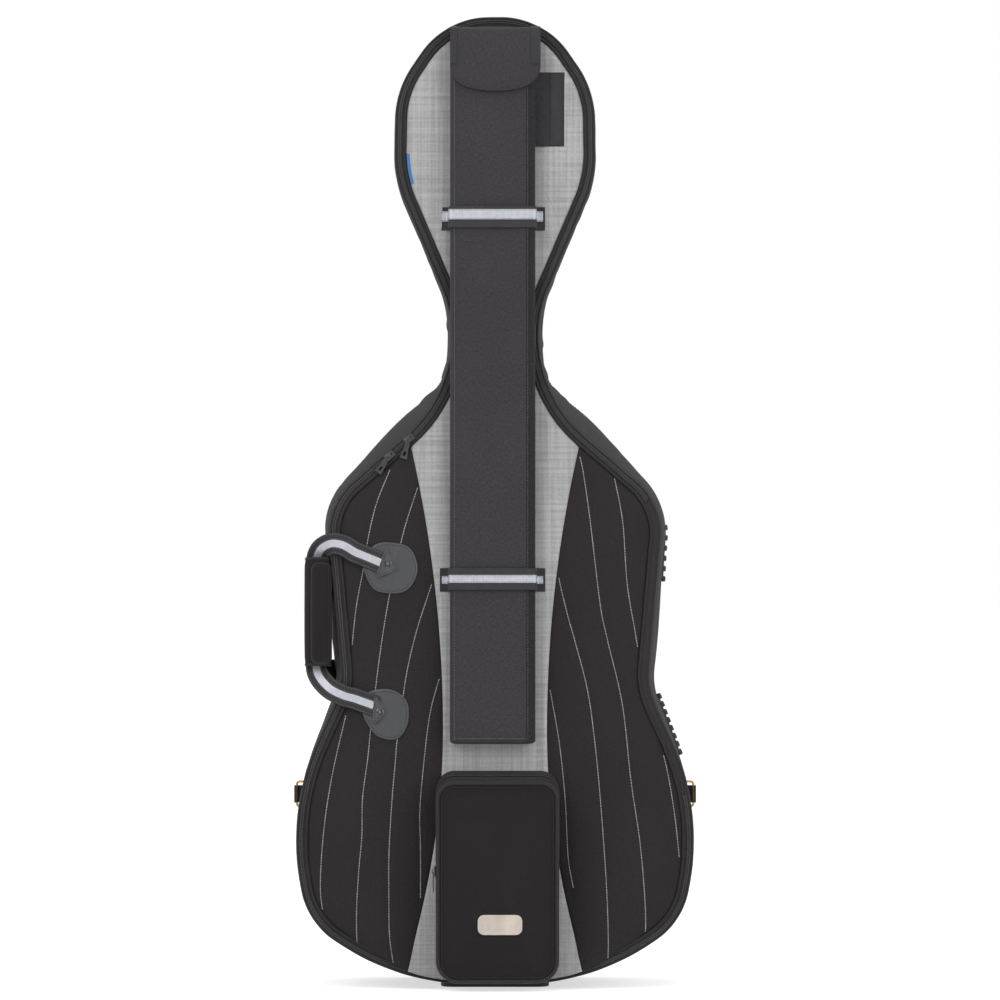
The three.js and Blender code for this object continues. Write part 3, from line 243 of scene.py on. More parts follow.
@dataclass
class CaseShape:
    """Sizes of the padded shell, and where its front, wall and back lie."""

    zip_corners: tuple = (
        mm(131, 0, 330), mm(256, 83, 102), mm(285, 234, 330), mm(207, 407, 110), mm(230, 661, 90),
        mm(57, 811, 190), mm(54, 936, 170), mm(135, 1126, 170), mm(133, 1246, 130), mm(66, 1345, 110),
    )
    depth_below: float = 0.230
    depth_above: float = 0.150
    cloth: float = 0.0016
    gusset_reach: float = 0.0065
    swells: tuple = (mm(762, 95, 25), mm(450, 170, 9), mm(900, 120, 6))
    wall_swell: tuple = mm(560, 330, 5)
    seam_waist: tuple = mm(73, 349)
    seam_top: tuple = mm(116, 736)
    seam_bottom: float = 0.129
    panel_inset: float = 0.0096
    least_side: float = 0.0021
    puff_reach: float = 0.008
    puff_share: float = 0.08
    stripe_fade: float = 0.03
    stripe_pull: float = 0.0011
    stripe_width: float = 0.0055
    hinge: tuple = mm(258, 668)

    def __post_init__(self) -> None:
        """Works out the zip line, the front's tilt and the width of its panels."""
        mirrored = tuple((-x, y, radius) for x, y, radius in reversed(self.zip_corners))
        self.line = Outline(self.zip_corners + mirrored)
        half = len(self.line.pieces) // 2
        self.top_mark = float(self.line.starts[half - 1] + self.line.pieces[half - 1][4] / 2)
        self.bottom_mark = -self.line.pieces[-1][4] / 2
        self.crown = self.zip_corners[-1][1]
        tilt = math.asin((self.depth_below - self.depth_above) / self.crown)
        self.sine, self.cosine = math.sin(tilt), math.cos(tilt)
        self.back_face = self.depth_below / 2
        self.foot = 0.007 + SEAM + self.gusset_reach
        fine = np.linspace(0, self.top_mark, 1600)
        places = self.line.at(fine)
        self.edge_x, self.edge_y = pushed(places, -self.panel_inset)
        self.mark_y = places[:, 1]
        self.marks = fine
        heights = np.linspace(self.edge_y[0], self.edge_y[-1], 6000)
        open_rows = heights[self.half_at(heights) - self.seam_at(heights) > self.least_side]
        crossing = open_rows[(open_rows < self.seam_top[1] + self.seam_top[0])]
        above = heights[heights > self.seam_waist[1]]
        closing = above[self.half_at(above) - self.seam_at(above) <= self.least_side]
        self.side_low, self.side_high = float(crossing[0]), float(closing[0])
        self.stripes: list[Array] = []

    def mark_at(self, up: float, side: Side = Side.RIGHT) -> float:
        """Distance along the zip line at a height, on one side."""
        mark = float(np.interp(up, self.mark_y, self.marks))
        return mark if side is Side.RIGHT else 2 * self.top_mark - mark

    def mirrored_marks(self, step: float) -> Array:
        """Evenly spaced marks round the whole line that fall in pairs, left and right."""
        count = 2 * int(round(self.line.length / step / 2))
        return (self.bottom_mark + self.line.length * np.arange(count) / count) % self.line.length

    def half_at(self, up: Array) -> Array:
        """Half width of the front's panels at a height."""
        return np.interp(up, self.edge_y, self.edge_x)

    def seam_at(self, up: Array) -> Array:
        """Half width of the grey panel, from the middle to its seam with the black panels.

        Args:
            up: places up the front.

        Returns:
            The half width at each of them.
        """
        up = np.asarray(up, float)
        above = up > self.seam_waist[1]
        far = np.where(above, self.seam_top[1], 0)
        reach = np.where(above, self.seam_top[0], self.seam_bottom)
        share = (up - self.seam_waist[1]) / (far - self.seam_waist[1])
        return self.seam_waist[0] + (reach - self.seam_waist[0]) * share**2

    def skin(self, across: Array, up: Array) -> Array:
        """Height of the front's fabric: puffed side panels drawn in along their stripes, and a soft grey one.

        Args:
            across: places across the front.
            up: places up the front.

        Returns:
            The height at each place.
        """
        across, up = np.broadcast_arrays(np.asarray(across, float), np.asarray(up, float))
        half, inner, outer = np.abs(across), self.seam_at(up), self.half_at(up)
        width = np.maximum(outer - inner, 1e-6)
        share = np.clip((half - inner) / width, 0, 1)
        side = (half > inner) & (half < outer) & (up < self.side_high) & (up > self.side_low)
        reach = np.minimum(self.puff_reach, self.puff_share * width)
        puff = np.where(side, reach * np.sin(np.pi * share) ** 0.8, 0)
        for line in self.stripes:
            order = np.argsort(line[:, 1])
            spot = np.interp(up, line[order, 1], line[order, 0])
            low, high = line[:, 1].min(), line[:, 1].max()
            within = blend(low - self.stripe_fade, low, up) * (1 - blend(high, high + self.stripe_fade, up))
            puff = puff - np.where(side, self.stripe_pull * within * hump(across, spot, self.stripe_width), 0)
        grey_edge = np.where(up > self.side_high, outer, np.minimum(inner, outer))
        room = np.maximum(grey_edge - half, 0)
        soft = 0.0022 * (1 - np.exp(-room / 0.007)) * blend(0.060, 0.078, half)
        soft = soft * (1 - 0.7 * blend(0.3, 0.1, up))
        return self.cloth + np.where(side, np.maximum(puff, -0.001), soft)

    def lid(self, across: Array, up: Array, height: Array) -> Array:
        """Points of the front in the row frame, from places on it.

        Args:
            across: places across the front.
            up: places up it.
            height: heights above its plane.

        Returns:
            The points.
        """
        across, up, height = np.broadcast_arrays(np.asarray(across, float), up, height)
        deep = -self.back_face + up * self.sine - height * self.cosine
        return np.stack([across, deep, self.foot + up * self.cosine + height * self.sine], axis=-1)

    def panel(self, across: Array, up: Array, height: Array) -> Array:
        """Points of the front's panels, which roll out over the zip at the foot.

        Args:
            across: places across the front.
            up: places up it.
            height: heights above its plane.

        Returns:
            The points.
        """
        low = self.edge_y < 0.2
        room = np.maximum(up - np.interp(np.abs(across), self.edge_x[low], self.edge_y[low]), 0)
        middle = 1 - blend(0.10, 0.22, np.abs(across))
        drop = 0.0128 * middle * hump(room, 0, 0.028)
        return self.lid(across, up - drop, height + 0.0042 * middle * hump(room, 0, 0.016))

    @property
    def lid_out(self) -> Array:
        """The direction that the front faces."""
        return np.array([0.0, -self.cosine, self.sine])

    @property
    def lid_up(self) -> Array:
        """The direction up the front."""
        return np.array([0.0, self.sine, self.cosine])

    def back(self, across: Array, up: Array, inside: Array) -> Array:
        """Points of the back in the row frame, from places on it and depths inside its outer face."""
        across, up, inside = np.broadcast_arrays(np.asarray(across, float), up, inside)
        return np.stack([across, self.back_face - inside, self.foot + up], axis=-1)

    @staticmethod
    def bump(swell: tuple, up: Array) -> Array:
        """Outward reach of a swell at a height: its middle, its span and its most."""
        share = np.minimum(np.abs(up - swell[0]) / swell[1], 1)
        return swell[2] * np.cos(np.pi / 2 * share) ** 2

    def back_place(self, marks: Array, reach: Array) -> Array:
        """Across and up of the back's outline, at an outward reach from it.

        Args:
            marks: distances along the zip line.
            reach: outward reach from the outline.

        Returns:
            Across and up.
        """
        places = self.line.at(marks)
        far = reach + sum(self.bump(swell, places[:, 1]) for swell in self.swells)
        across, up = pushed(places, far)
        return np.column_stack([across, up * self.cosine])

    def wall(self, marks: Array, share: Array, reach: Array, low: float = 0.0, inside: float = 0.0) -> Array:
        """Points of the wall between the front and the back.

        Args:
            marks: distances along the zip line, one a row.
            share: how far from the front to the back, one a column.
            reach: outward reach from the zip line, for each row and column.
            low: height above the front's plane at the front edge.
            inside: depth inside the back's outer face at the back edge.

        Returns:
            A grid of points in the row frame.
        """
        places = self.line.at(marks)[:, None, :]
        share = np.broadcast_to(share, (len(marks), np.shape(share)[-1]))
        reach = np.broadcast_to(reach, share.shape)
        ahead = self.lid(*pushed(places, reach), low)
        far = reach + sum(self.bump(swell, places[..., 1]) for swell in self.swells)
        across, up = pushed(places, far)
        behind = self.back(across, up * self.cosine, inside)
        swell = 4 * share * (1 - share) * self.bump(self.wall_swell, places[..., 1])
        out = np.stack([swell * places[..., 2], np.zeros_like(swell), swell * places[..., 3]], axis=-1)
        return ahead + (behind - ahead) * share[..., None] + out

    def wall_out(self, marks: Array) -> Array:
        """The directions that the wall faces at marks along the zip line."""
        places = self.line.at(marks)
        return np.column_stack([places[:, 2], np.zeros(len(marks)), places[:, 3]])

    def lid_outwards(self, places: Array) -> Array:
        """The directions away from an outline on the front, at rows like those of Outline.at()."""
        return normalised(self.lid(places[:, 2], places[:, 3], 0.0) - self.lid(0.0, 0.0, 0.0))

    def edge(self, marks: Sequence, reach: Sequence, height: Sequence) -> Array:
        """Grid of points along the zip line.

        Args:
            marks: distances along the line, one a row.
            reach: outward reach from it, one a column.
            height: height above the front's plane, one a column.

        Returns:
            The points in the row frame.
        """
        places = self.line.at(marks)[:, None, :]
        reach, height = np.asarray(reach, float)[None, :], np.asarray(height, float)[None, :]
        return self.lid(*pushed(places, reach), height)


SHAPE = CaseShape()


Colour = tuple[float, float, float]


def rgba(colour: Colour, factor: float = 1.0) -> tuple[float, float, float, float]:
    """Colour with a factor on its brightness, and full cover."""
    return (*(min(1.0, channel * factor) for channel in colour), 1.0)


def feed(tree: bpy.types.NodeTree, socket: Socket, value: object) -> None:
    """Links another node's output to a socket, or sets the socket's own value.

    Args:
        tree: the tree that both are in.
        socket: the input.
        value: another node's output, or the value itself.
    """
    if isinstance(value, Socket):
        tree.links.new(value, socket)
    else:
        socket.default_value = value


def add_node(
    tree: bpy.types.NodeTree, kind: str, inputs: dict | None = None, **settings: object
) -> bpy.types.Node:
    """Adds a node.

    Args:
        tree: the tree that it goes into.
        kind: its type.
        inputs: values, or other nodes' outputs, for its inputs by name or number.
        settings: its properties.

    Returns:
        The node.
    """
    node = tree.nodes.new(kind)
    for name, value in settings.items():
        setattr(node, name, value)
    for name, value in (inputs or {}).items():
        feed(tree, node.inputs[name], value)
    return node


def seen_rays(tree: bpy.types.NodeTree) -> Socket:
    """1 for the camera's rays and glossy ones, and 0 for the rest.

    Args:
        tree: the tree that the node goes into.

    Returns:
        The output that says it.
    """
    rays = add_node(tree, "ShaderNodeLightPath").outputs
    inputs = {0: rays["Is Camera Ray"], 1: rays["Is Glossy Ray"]}
    return add_node(tree, "ShaderNodeMath", inputs, operation="MAXIMUM").outputs[0]


class Nodes:
    """Short way to add shader nodes to a material's tree."""

    def __init__(self, material: bpy.types.Material) -> None:
        """Starts from an empty tree with one shader and the output.

        Args:
            material: the material whose tree it is.
        """
        material.use_nodes = True
        self.tree = material.node_tree
        self.tree.nodes.clear()
        self.shader = self.tree.nodes.new("ShaderNodeBsdfPrincipled")
        output = self.tree.nodes.new("ShaderNodeOutputMaterial")
        self.tree.links.new(self.shader.outputs[0], output.inputs["Surface"])
        coordinates = self.tree.nodes.new("ShaderNodeTexCoord")
        self.object, self.uv = coordinates.outputs["Object"], coordinates.outputs["UV"]

    def add(self, kind: str, inputs: dict | None = None, **settings: object) -> bpy.types.Node:
        """Adds a node to this tree."""
        return add_node(self.tree, kind, inputs, **settings)

    def math(self, operation: str, *values: object) -> Socket:
        """Result of a Math node."""
        return self.add("ShaderNodeMath", dict(enumerate(values)), operation=operation).outputs[0]

    def stretched(self, vector: Socket, scale: Point) -> Socket:
        """Coordinates scaled along each axis."""
        return self.add("ShaderNodeVectorMath", {0: vector, 1: scale}, operation="MULTIPLY").outputs[0]

    def noise(self, vector: Socket, scale: float, detail: float = 2.0) -> Socket:
        """Noise from 0 to 1."""
        return self.add(
            "ShaderNodeTexNoise", {"Vector": vector, "Scale": scale, "Detail": detail}
        ).outputs["Fac"]

    def ranged(self, value: Socket, source: Point, target: Point) -> Socket:
        """Value brought from one range to another and kept inside it."""
        inputs = dict(enumerate((value, *source, *target)))
        return self.add("ShaderNodeMapRange", inputs).outputs[0]

    def mix(self, share: object, first: object, second: object) -> Socket:
        """Mix of two colours.

        Args:
            share: share of the second.
            first: one colour.
            second: the other.

        Returns:
            The mixed colour.
        """
        node = self.add("ShaderNodeMix", data_type="RGBA")
        for index, value in ((0, share), (6, first), (7, second)):
            feed(self.tree, node.inputs[index], value)
        return node.outputs[2]

    def uneven(self, value: Socket, colour: Colour, dark: float, light: float) -> Socket:
        """Colour whose brightness follows a noise, between two factors."""
        return self.mix(self.ranged(value, (0.3, 0.7), (0, 1)), rgba(colour, dark), rgba(colour, light))

    def bump(self, height: Socket, distance: float, strength: float = 1.0) -> None:
        """Gives the shader's normal one more layer of relief, of a height in metres.

        Args:
            height: the relief, 0 to 1.
            distance: how high 1 stands.
            strength: how strong it is.
        """
        before = self.shader.inputs["Normal"].links
        inputs = {"Height": height, "Distance": distance, "Strength": strength}
        if before:
            inputs["Normal"] = before[0].from_socket
        self.tree.links.new(self.add("ShaderNodeBump", inputs).outputs[0], self.shader.inputs["Normal"])

    def scaled(self, colour: Socket, factor: Socket) -> Socket:
        """Colour times a factor."""
        return self.add("ShaderNodeVectorMath", {0: colour, "Scale": factor}, operation="SCALE").outputs[0]

    def wave(self, value: Socket, pitch: float) -> Socket:
        """Sine of a coordinate, with one hump or hollow in each pitch."""
        return self.math("SINE", self.math("MULTIPLY", value, math.pi / pitch))

    def set(self, **values: object) -> None:
        """Sets the shader's own sockets; an underscore stands for a space."""
        for name, value in values.items():
            feed(self.tree, self.shader.inputs[name.replace("_", " ")], value)


@dataclass(frozen=True)
class Finish:
    """A material that is made once, when a piece first needs it."""

    name: str
    colour: Colour

    def material(self) -> bpy.types.Material:
        """The finish's material."""
        key = f"{self.name}_finish"
        made = bpy.data.materials.get(key)
        if made is None:
            made = bpy.data.materials.new(key)
            made.diffuse_color = rgba(self.colour)
            self.paint(Nodes(made))
        return made

    def paint(self, nodes: Nodes) -> None:
        """Fills the tree; each kind of finish has its own."""
        nodes.set(Base_Color=rgba(self.colour))


@dataclass(frozen=True)
class Cloth(Finish):
    """Plain woven cloth: crossing threads with a painted highlight on their crowns and painted shade where
    they dip, slubs, broad random unevenness of tone and a dry sheen.
    """

    pitch: float = 0.0009
    contrast: float = 0.32
    slub: float = 0.22
    relief: float = 0.00022
    roughness: float = 0.82
    sheen: float = 0.05
    grid: float = 0.0
    shine: float = 0.22

    def paint(self, nodes: Nodes) -> None:
        """Threads over and under on the piece's own UV map, in metres."""
        split = nodes.add("ShaderNodeSeparateXYZ", {0: nodes.uv})
        product = nodes.math("MULTIPLY", *(nodes.wave(split.outputs[axis], self.pitch) for axis in (0, 1)))
        hump = nodes.math("POWER", nodes.math("ABSOLUTE", product), 0.45)
        over = nodes.math("GREATER_THAN", product, 0.0)
        slubs = nodes.noise(nodes.stretched(nodes.uv, (1.0, 0.35, 1.0)), 620.0, 3.0)
        cross_slubs = nodes.noise(nodes.stretched(nodes.uv, (0.35, 1.0, 1.0)), 560.0, 3.0)
        grain = nodes.ranged(
            nodes.math("ADD", slubs, cross_slubs), (0.72, 1.28), (1 - self.slub, 1 + self.slub)
        )
        broad = nodes.ranged(nodes.noise(nodes.object, 9.0), (0.3, 0.7), (0.93, 1.07))
        raised = nodes.ranged(over, (0, 1), (0.96, 1.04))
        shade = nodes.math("MULTIPLY", nodes.math("MULTIPLY", grain, broad), raised)
        if self.grid:
            ribs = nodes.noise(nodes.stretched(nodes.object, (1.0, 0.02, 0.02)), 300.0, 1.0)
            lines = nodes.noise(nodes.stretched(nodes.object, (0.03, 0.03, 1.0)), 300.0, 1.0)
            streak = nodes.ranged(
                nodes.math("ADD", ribs, lines), (0.75, 1.25), (1 - self.grid, 1 + self.grid)
            )
            shade = nodes.math("MULTIPLY", shade, streak)
        # Painted highlight and shade: each thread is lighter on its crown and darker where it dips under the
        # next.
        thread = nodes.mix(
            hump, rgba(self.colour, 1 - self.contrast), rgba(self.colour, 1 + 0.5 * self.contrast)
        )
        nodes.set(
            Base_Color=nodes.scaled(thread, shade), Roughness=self.roughness, Specular_IOR_Level=self.shine,
            Sheen_Weight=self.sheen, Sheen_Roughness=0.5,
        )
        nodes.bump(hump, self.relief)
        nodes.bump(slubs, self.relief * 0.8)


@dataclass(frozen=True)
class Webbing(Finish):
    """Woven strap: ribs across its width, in rows of short threads."""

    rib: float = 0.0016
    roughness: float = 0.72
    lengthwise: bool = False

    def paint(self, nodes: Nodes) -> None:
        """Ribs along the UV map, broken up by the threads that bind them; the ribs carry a painted highlight
        and the grooves painted shade.
        """
        split = nodes.add("ShaderNodeSeparateXYZ", {0: nodes.uv})
        first, second = (0, 1) if self.lengthwise else (1, 0)
        rows = nodes.math("ABSOLUTE", nodes.wave(split.outputs[first], self.rib))
        threads = nodes.math("ABSOLUTE", nodes.wave(split.outputs[second], 0.6 * self.rib))
        bound = nodes.ranged(threads, (0, 1), (0.6, 1.0))
        height = nodes.math("MULTIPLY", nodes.math("POWER", rows, 0.6), bound)
        wear = nodes.ranged(nodes.noise(nodes.object, 60.0, 4.0), (0.3, 0.75), (0.8, 1.25))
        # Painted highlight and shade: the rib tops are lighter and the grooves between them darker.
        thread = nodes.mix(height, rgba(self.colour, 0.55), rgba(self.colour, 1.25))
        nodes.set(
            Base_Color=nodes.scaled(thread, wear), Roughness=self.roughness, Specular_IOR_Level=0.4,
            Sheen_Weight=0.1,
        )
        nodes.bump(height, 0.0003)


@dataclass(frozen=True)
class Leather(Finish):
    """Grained leather with soft unevenness."""

    roughness: float = 0.42

    def paint(self, nodes: Nodes) -> None:
        """Cells of a fine grain over soft unevenness."""
        cells = nodes.add("ShaderNodeTexVoronoi", {"Vector": nodes.object, "Scale": 780.0})
        soft = nodes.noise(nodes.object, 130.0, 4.0)
        shade = nodes.uneven(soft, self.colour, 0.92, 1.1)
        nodes.set(Base_Color=shade, Roughness=self.roughness, Specular_IOR_Level=0.6)
        nodes.bump(cells.outputs["Distance"], 0.00012)
        nodes.bump(soft, 0.00015)


@dataclass(frozen=True)
class Metal(Finish):
    """Plated metal with fine scratches and dull patches."""

    roughness: float = 0.28
    coat: float = 0.0

    def paint(self, nodes: Nodes) -> None:
        """Patches of unlike polish, with scratches one way."""
        scratches = nodes.noise(nodes.stretched(nodes.object, (1.0, 1.0, 0.06)), 2600.0, 3.0)
        patches = nodes.noise(nodes.object, 240.0, 4.0)
        dull = (self.roughness * 0.7, self.roughness * 1.6)
        polish = nodes.ranged(nodes.math("ADD", scratches, patches), (0.7, 1.3), dull)
        tint = nodes.uneven(patches, self.colour, 0.85, 1.1)
        nodes.set(Base_Color=tint, Metallic=1.0, Roughness=polish, Coat_Weight=self.coat)
        nodes.bump(scratches, 0.00003)


@dataclass(frozen=True)
class Moulded(Finish):
    """Moulded rubber, foam or plastic with a fine texture."""

    roughness: float = 0.6
    grain: float = 900.0
    relief: float = 0.00015
    specular: float = 0.4

    def paint(self, nodes: Nodes) -> None:
        """Fine pores over soft shade."""
        pores = nodes.noise(nodes.object, self.grain, 3.0)
        soft = nodes.noise(nodes.object, 45.0, 3.0)
        shade = nodes.uneven(soft, self.colour, 0.88, 1.12)
        dull = nodes.ranged(pores, (0.3, 0.7), (self.roughness * 0.85, min(1.0, self.roughness * 1.15)))
        nodes.set(Base_Color=shade, Specular_IOR_Level=self.specular, Roughness=dull)
        nodes.bump(pores, self.relief)


@dataclass(frozen=True)
class Thread(Finish):
    """Twisted sewing thread."""

    def paint(self, nodes: Nodes) -> None:
        """Twist lines and a little soiling."""
        soil = nodes.noise(nodes.object, 90.0, 3.0)
        nodes.set(Base_Color=nodes.uneven(soil, self.colour, 0.7, 1.0), Roughness=0.75)
        nodes.bump(nodes.noise(nodes.object, 3000.0), 0.0001)


@dataclass(frozen=True)
class Reflective(Finish):
    """Silver reflective tape: a fine woven grey with a soft shine."""

    def paint(self, nodes: Nodes) -> None:
        """Diagonal rib with faint creases, painted darker in their hollows."""
        rib = nodes.add(
            "ShaderNodeTexWave", {"Vector": nodes.uv, "Scale": 320.0, "Distortion": 0.6},
            bands_direction="DIAGONAL",
        )
        creases = nodes.noise(nodes.object, 160.0, 4.0)
        # Painted shade: the noise that raises the creases also darkens their hollows and lightens their
        # ridges a little.
        shade = nodes.uneven(creases, self.colour, 0.86, 1.04)
        nodes.set(Base_Color=shade, Roughness=0.42, Metallic=0.25, Specular_IOR_Level=0.6)
        nodes.bump(rib.outputs["Fac"], 0.00006)
        nodes.bump(creases, 0.0003)


BLACK_NYLON = Cloth("black_nylon", (0.023, 0.019, 0.021))
GUSSET_NYLON = Cloth("gusset_nylon", (0.021, 0.018, 0.019), slub=0.28)
QUIVER_NYLON = Cloth("quiver_nylon", (0.044, 0.041, 0.046))
POCKET_NYLON = Cloth("pocket_nylon", (0.015, 0.012, 0.013))
GREY_NYLON = Cloth(
    "grey_nylon", (0.42, 0.42, 0.422), contrast=0.24, slub=0.10, relief=0.00014, grid=0.16, sheen=0.03
)
EDGE_BINDING = Cloth("edge_binding", (0.017, 0.014, 0.016), pitch=0.0006, slub=0.2, roughness=0.5, shine=0.3)
WORN_BINDING = Cloth("worn_binding", (0.022, 0.021, 0.023), slub=0.5, relief=0.0004)
LINING_CLOTH = Cloth(
    "lining_cloth", (0.10, 0.10, 0.11), pitch=0.0006, contrast=0.15, slub=0.08, relief=0.0001, roughness=0.6
)
PAD_MESH = Cloth(
    "pad_mesh", (0.030, 0.029, 0.031), pitch=0.0022, contrast=0.7, slub=0.1, relief=0.0006, sheen=0.05
)
ZIP_TAPE = Webbing("zip_tape", (0.026, 0.023, 0.026), rib=0.0008)
STRAP_WEBBING = Webbing("strap_webbing", (0.021, 0.019, 0.021), lengthwise=True)
CROSS_WEBBING = Webbing("cross_webbing", (0.024, 0.022, 0.025))
PATCH_LEATHER = Leather("patch_leather", (0.036, 0.037, 0.042))
GUNMETAL = Metal("gunmetal", (0.035, 0.034, 0.036), roughness=0.16, coat=1.0)
RIVET_STEEL = Metal("rivet_steel", (0.10, 0.10, 0.105), roughness=0.18)
BRASS = Metal("brass", (0.52, 0.35, 0.13))
BLACK_RUBBER = Moulded("black_rubber", (0.030, 0.030, 0.031))
COIL_NYLON = Moulded("coil_nylon", (0.090, 0.090, 0.094), roughness=0.4, relief=0.00005)
PLATE_METAL = Moulded(
    "plate_metal", (0.60, 0.53, 0.46), roughness=0.4, grain=1500.0, relief=0.00003, specular=0.5
)
PALE_THREAD = Thread("pale_thread", (0.42, 0.42, 0.41))
DARK_THREAD = Thread("dark_thread", (0.030, 0.030, 0.032))
WORN_THREAD = Thread("worn_thread", (0.15, 0.15, 0.155))
REFLECTIVE_TAPE = Reflective("reflective_tape", (0.50, 0.51, 0.56))
BLUE_TAPE = Webbing("blue_tape", (0.06, 0.20, 0.48), rib=0.0007)


def skin_mesh(name: str, grid: Array, ring: bool = False, loop: bool = False) -> bpy.types.Mesh:
    """Mesh over a grid of points, with a UV map in metres.

    Args:
        name: the mesh's name.
        grid: points by row and column.
        ring: the last column joins the first, and the end rows are closed by strips of faces.
        loop: the last row joins the first.

    Returns:
        The mesh; a closed one faces outwards.
    """
    rows, columns = grid.shape[:2]
    full = np.concatenate([grid, grid[:, :1]], axis=1) if ring else grid
    full = np.concatenate([full, full[:1]], axis=0) if loop else full
    across, along = np.zeros(full.shape[:2]), np.zeros(full.shape[:2])
    across[:, 1:] = np.cumsum(np.linalg.norm(np.diff(full, axis=1), axis=2), axis=1)
    along[1:] = np.cumsum(np.linalg.norm(np.diff(full, axis=0), axis=2), axis=0)
    i, j = np.meshgrid(np.arange(full.shape[0] - 1), np.arange(full.shape[1] - 1), indexing="ij")
    i, j = i.ravel(), j.ravel()
    corners = [(i, j), (i, j + 1), (i + 1, j + 1), (i + 1, j)]
    faces = np.stack([(a % rows) * columns + b % columns for a, b in corners], axis=1)
    maps = np.stack([np.stack([across[a, b], along[a, b]], axis=1) for a, b in corners], axis=1)
    points = grid.reshape(-1, 3)
    if ring and not loop:
        for row, turned in ((0, True), (rows - 1, False)):
            k = np.arange(columns // 2 - 1)
            strip = np.stack([k, k + 1, columns - 2 - k, columns - 1 - k], axis=1)
            strip = strip[:, ::-1] if turned else strip
            cap = grid[row] - grid[row].mean(axis=0)
            axes = np.linalg.svd(cap, full_matrices=False)[2][:2]
            faces = np.concatenate([faces, strip + row * columns])
            maps = np.concatenate([maps, (cap @ axes.T)[strip]])
    if ring:
        a, b, c, d = (points[faces[:, k]] for k in range(4))
        volume = sum(np.einsum("ij,ij->i", a, np.cross(*side)).sum() for side in ((b, c), (c, d)))
        if volume < 0:
            faces, maps = faces[:, ::-1], maps[:, ::-1]
    mesh = bpy.data.meshes.new(name)
    mesh.from_pydata(points.tolist(), [], faces.tolist())
    mesh.uv_layers.new(name="UVMap").data.foreach_set("uv", maps.reshape(-1, 2).ravel())
    mesh.polygons.foreach_set("use_smooth", np.ones(len(mesh.polygons), bool))
    mesh.update()
    return mesh


def welded(name: str, grid: Array) -> bpy.types.Mesh:
    """Mesh over a grid whose rows close in a loop, with points that meet merged into one.

    Args:
        name: name of the mesh.
        grid: rows of points; the last meets the first.

    Returns:
        The mesh.
    """
    mesh = skin_mesh(name, grid, loop=True)
    shape = bmesh.new()
    shape.from_mesh(mesh)
    bmesh.ops.remove_doubles(shape, verts=shape.verts, dist=0.00002)
    bmesh.ops.dissolve_degenerate(shape, dist=0.00001, edges=shape.edges)
    shape.to_mesh(mesh)
    shape.free()
    return mesh


def drawn_in(outline: Array, share: float) -> Array:
    """Rows of across and up, drawn in to a share of their width and a little from both ends."""
    middle = (outline[:, 1].min() + outline[:, 1].max()) / 2
    return np.column_stack([outline[:, 0] * share, middle + (outline[:, 1] - middle) * (0.9 + 0.1 * share)])


def slab(top: Array, bottom: Array) -> Array:
    """Ring sections of a sheet between two grids of points."""
    return np.concatenate([top, bottom[:, ::-1]], axis=1)


def sections(path: Array, side: Array, profile: Array, loop: bool = False) -> Array:
    """Sections swept along a path.

    Args:
        path: points of the path.
        side: the direction of the profile's first axis, one for all or one a point.
        profile: points of the section, along the side and away from it.
        loop: the path is closed.

    Returns:
        A grid with one section a row.
    """
    ends = (np.roll(path, -1, 0) - np.roll(path, 1, 0)) if loop else np.gradient(path, axis=0)
    along = normalised(ends)
    side = np.broadcast_to(side, path.shape)
    side = normalised(side - along * np.einsum("ij,ij->i", side, along)[:, None])
    rise = np.cross(along, side)
    profile = np.broadcast_to(profile, (len(path), *np.shape(profile)[-2:]))
    wide, high = profile[..., 0, None], profile[..., 1, None]
    return path[:, None, :] + wide * side[:, None, :] + high * rise[:, None, :]


def flat_profile(width: float, thickness: float, crown: float = 0.0, points: int = 9) -> Array:
    """Section of a strap with rounded edges.

    Args:
        width: its width, along the section's first axis.
        thickness: its thickness at the edges.
        crown: how much thicker each face is in the middle.
        points: how many points a face has.

    Returns:
        The points round it.
    """
    shares = np.linspace(-1, 1, points)
    half = thickness / 2
    top = np.column_stack([shares * (width / 2 - half), half + crown * (1 - shares**2)])
    turn = np.radians([54, 18, -18, -54])
    right = np.column_stack([width / 2 - half + half * np.cos(turn), half * np.sin(turn)])
    return np.concatenate([top, right, -top, -right])


def round_profile(radius: float, sides: int = 10) -> Array:
    """Section of a cord."""
    turn = 2 * np.pi * np.arange(sides) / sides
    return radius * np.column_stack([np.cos(turn), np.sin(turn)])


def place(
    name: str, mesh: bpy.types.Mesh | Array, finish: Finish, body: str, slot: str,
    replaces: Sequence[str] = (),
    loop: bool = False, crease: float = 40.0, bent: tuple | None = None, fill: float | None = None,
) -> None:
    """Links a piece into the scene and ties it to the frame.

    Args:
        name: the piece's name.
        mesh: its mesh, or the ring sections that it is made of.
        finish: what it is made of.
        body: the body that it moves with.
        slot: the record's material slot; not used.
        replaces: CAD nodes that it stands for.
        loop: the last section joins the first.
        crease: angle in degrees above which an edge stays sharp.
        bent: for cloth that crosses a joint, the other body and the start and end of the bend; only whether
            it is given is used, and then the piece is baked where it stands and tied to no body.
        fill: not used; for a padded piece, the least share of its CAD solids that it fills.
    """
    if isinstance(mesh, Array):
        mesh = skin_mesh(name, mesh, ring=True, loop=loop)
    mesh.name = name
    mesh.materials.clear()
    mesh.materials.append(finish.material())
    mesh.set_sharp_from_angle(angle=math.radians(crease))
    made = bpy.data.objects.new(name, mesh)
    bpy.context.scene.collection.objects.link(made)
    if bent:
        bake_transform(made)
    else:
        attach(made, body)
    if replaces:
        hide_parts(*replaces)
    log.info("%s: %d faces on %s", name, len(mesh.polygons), body)


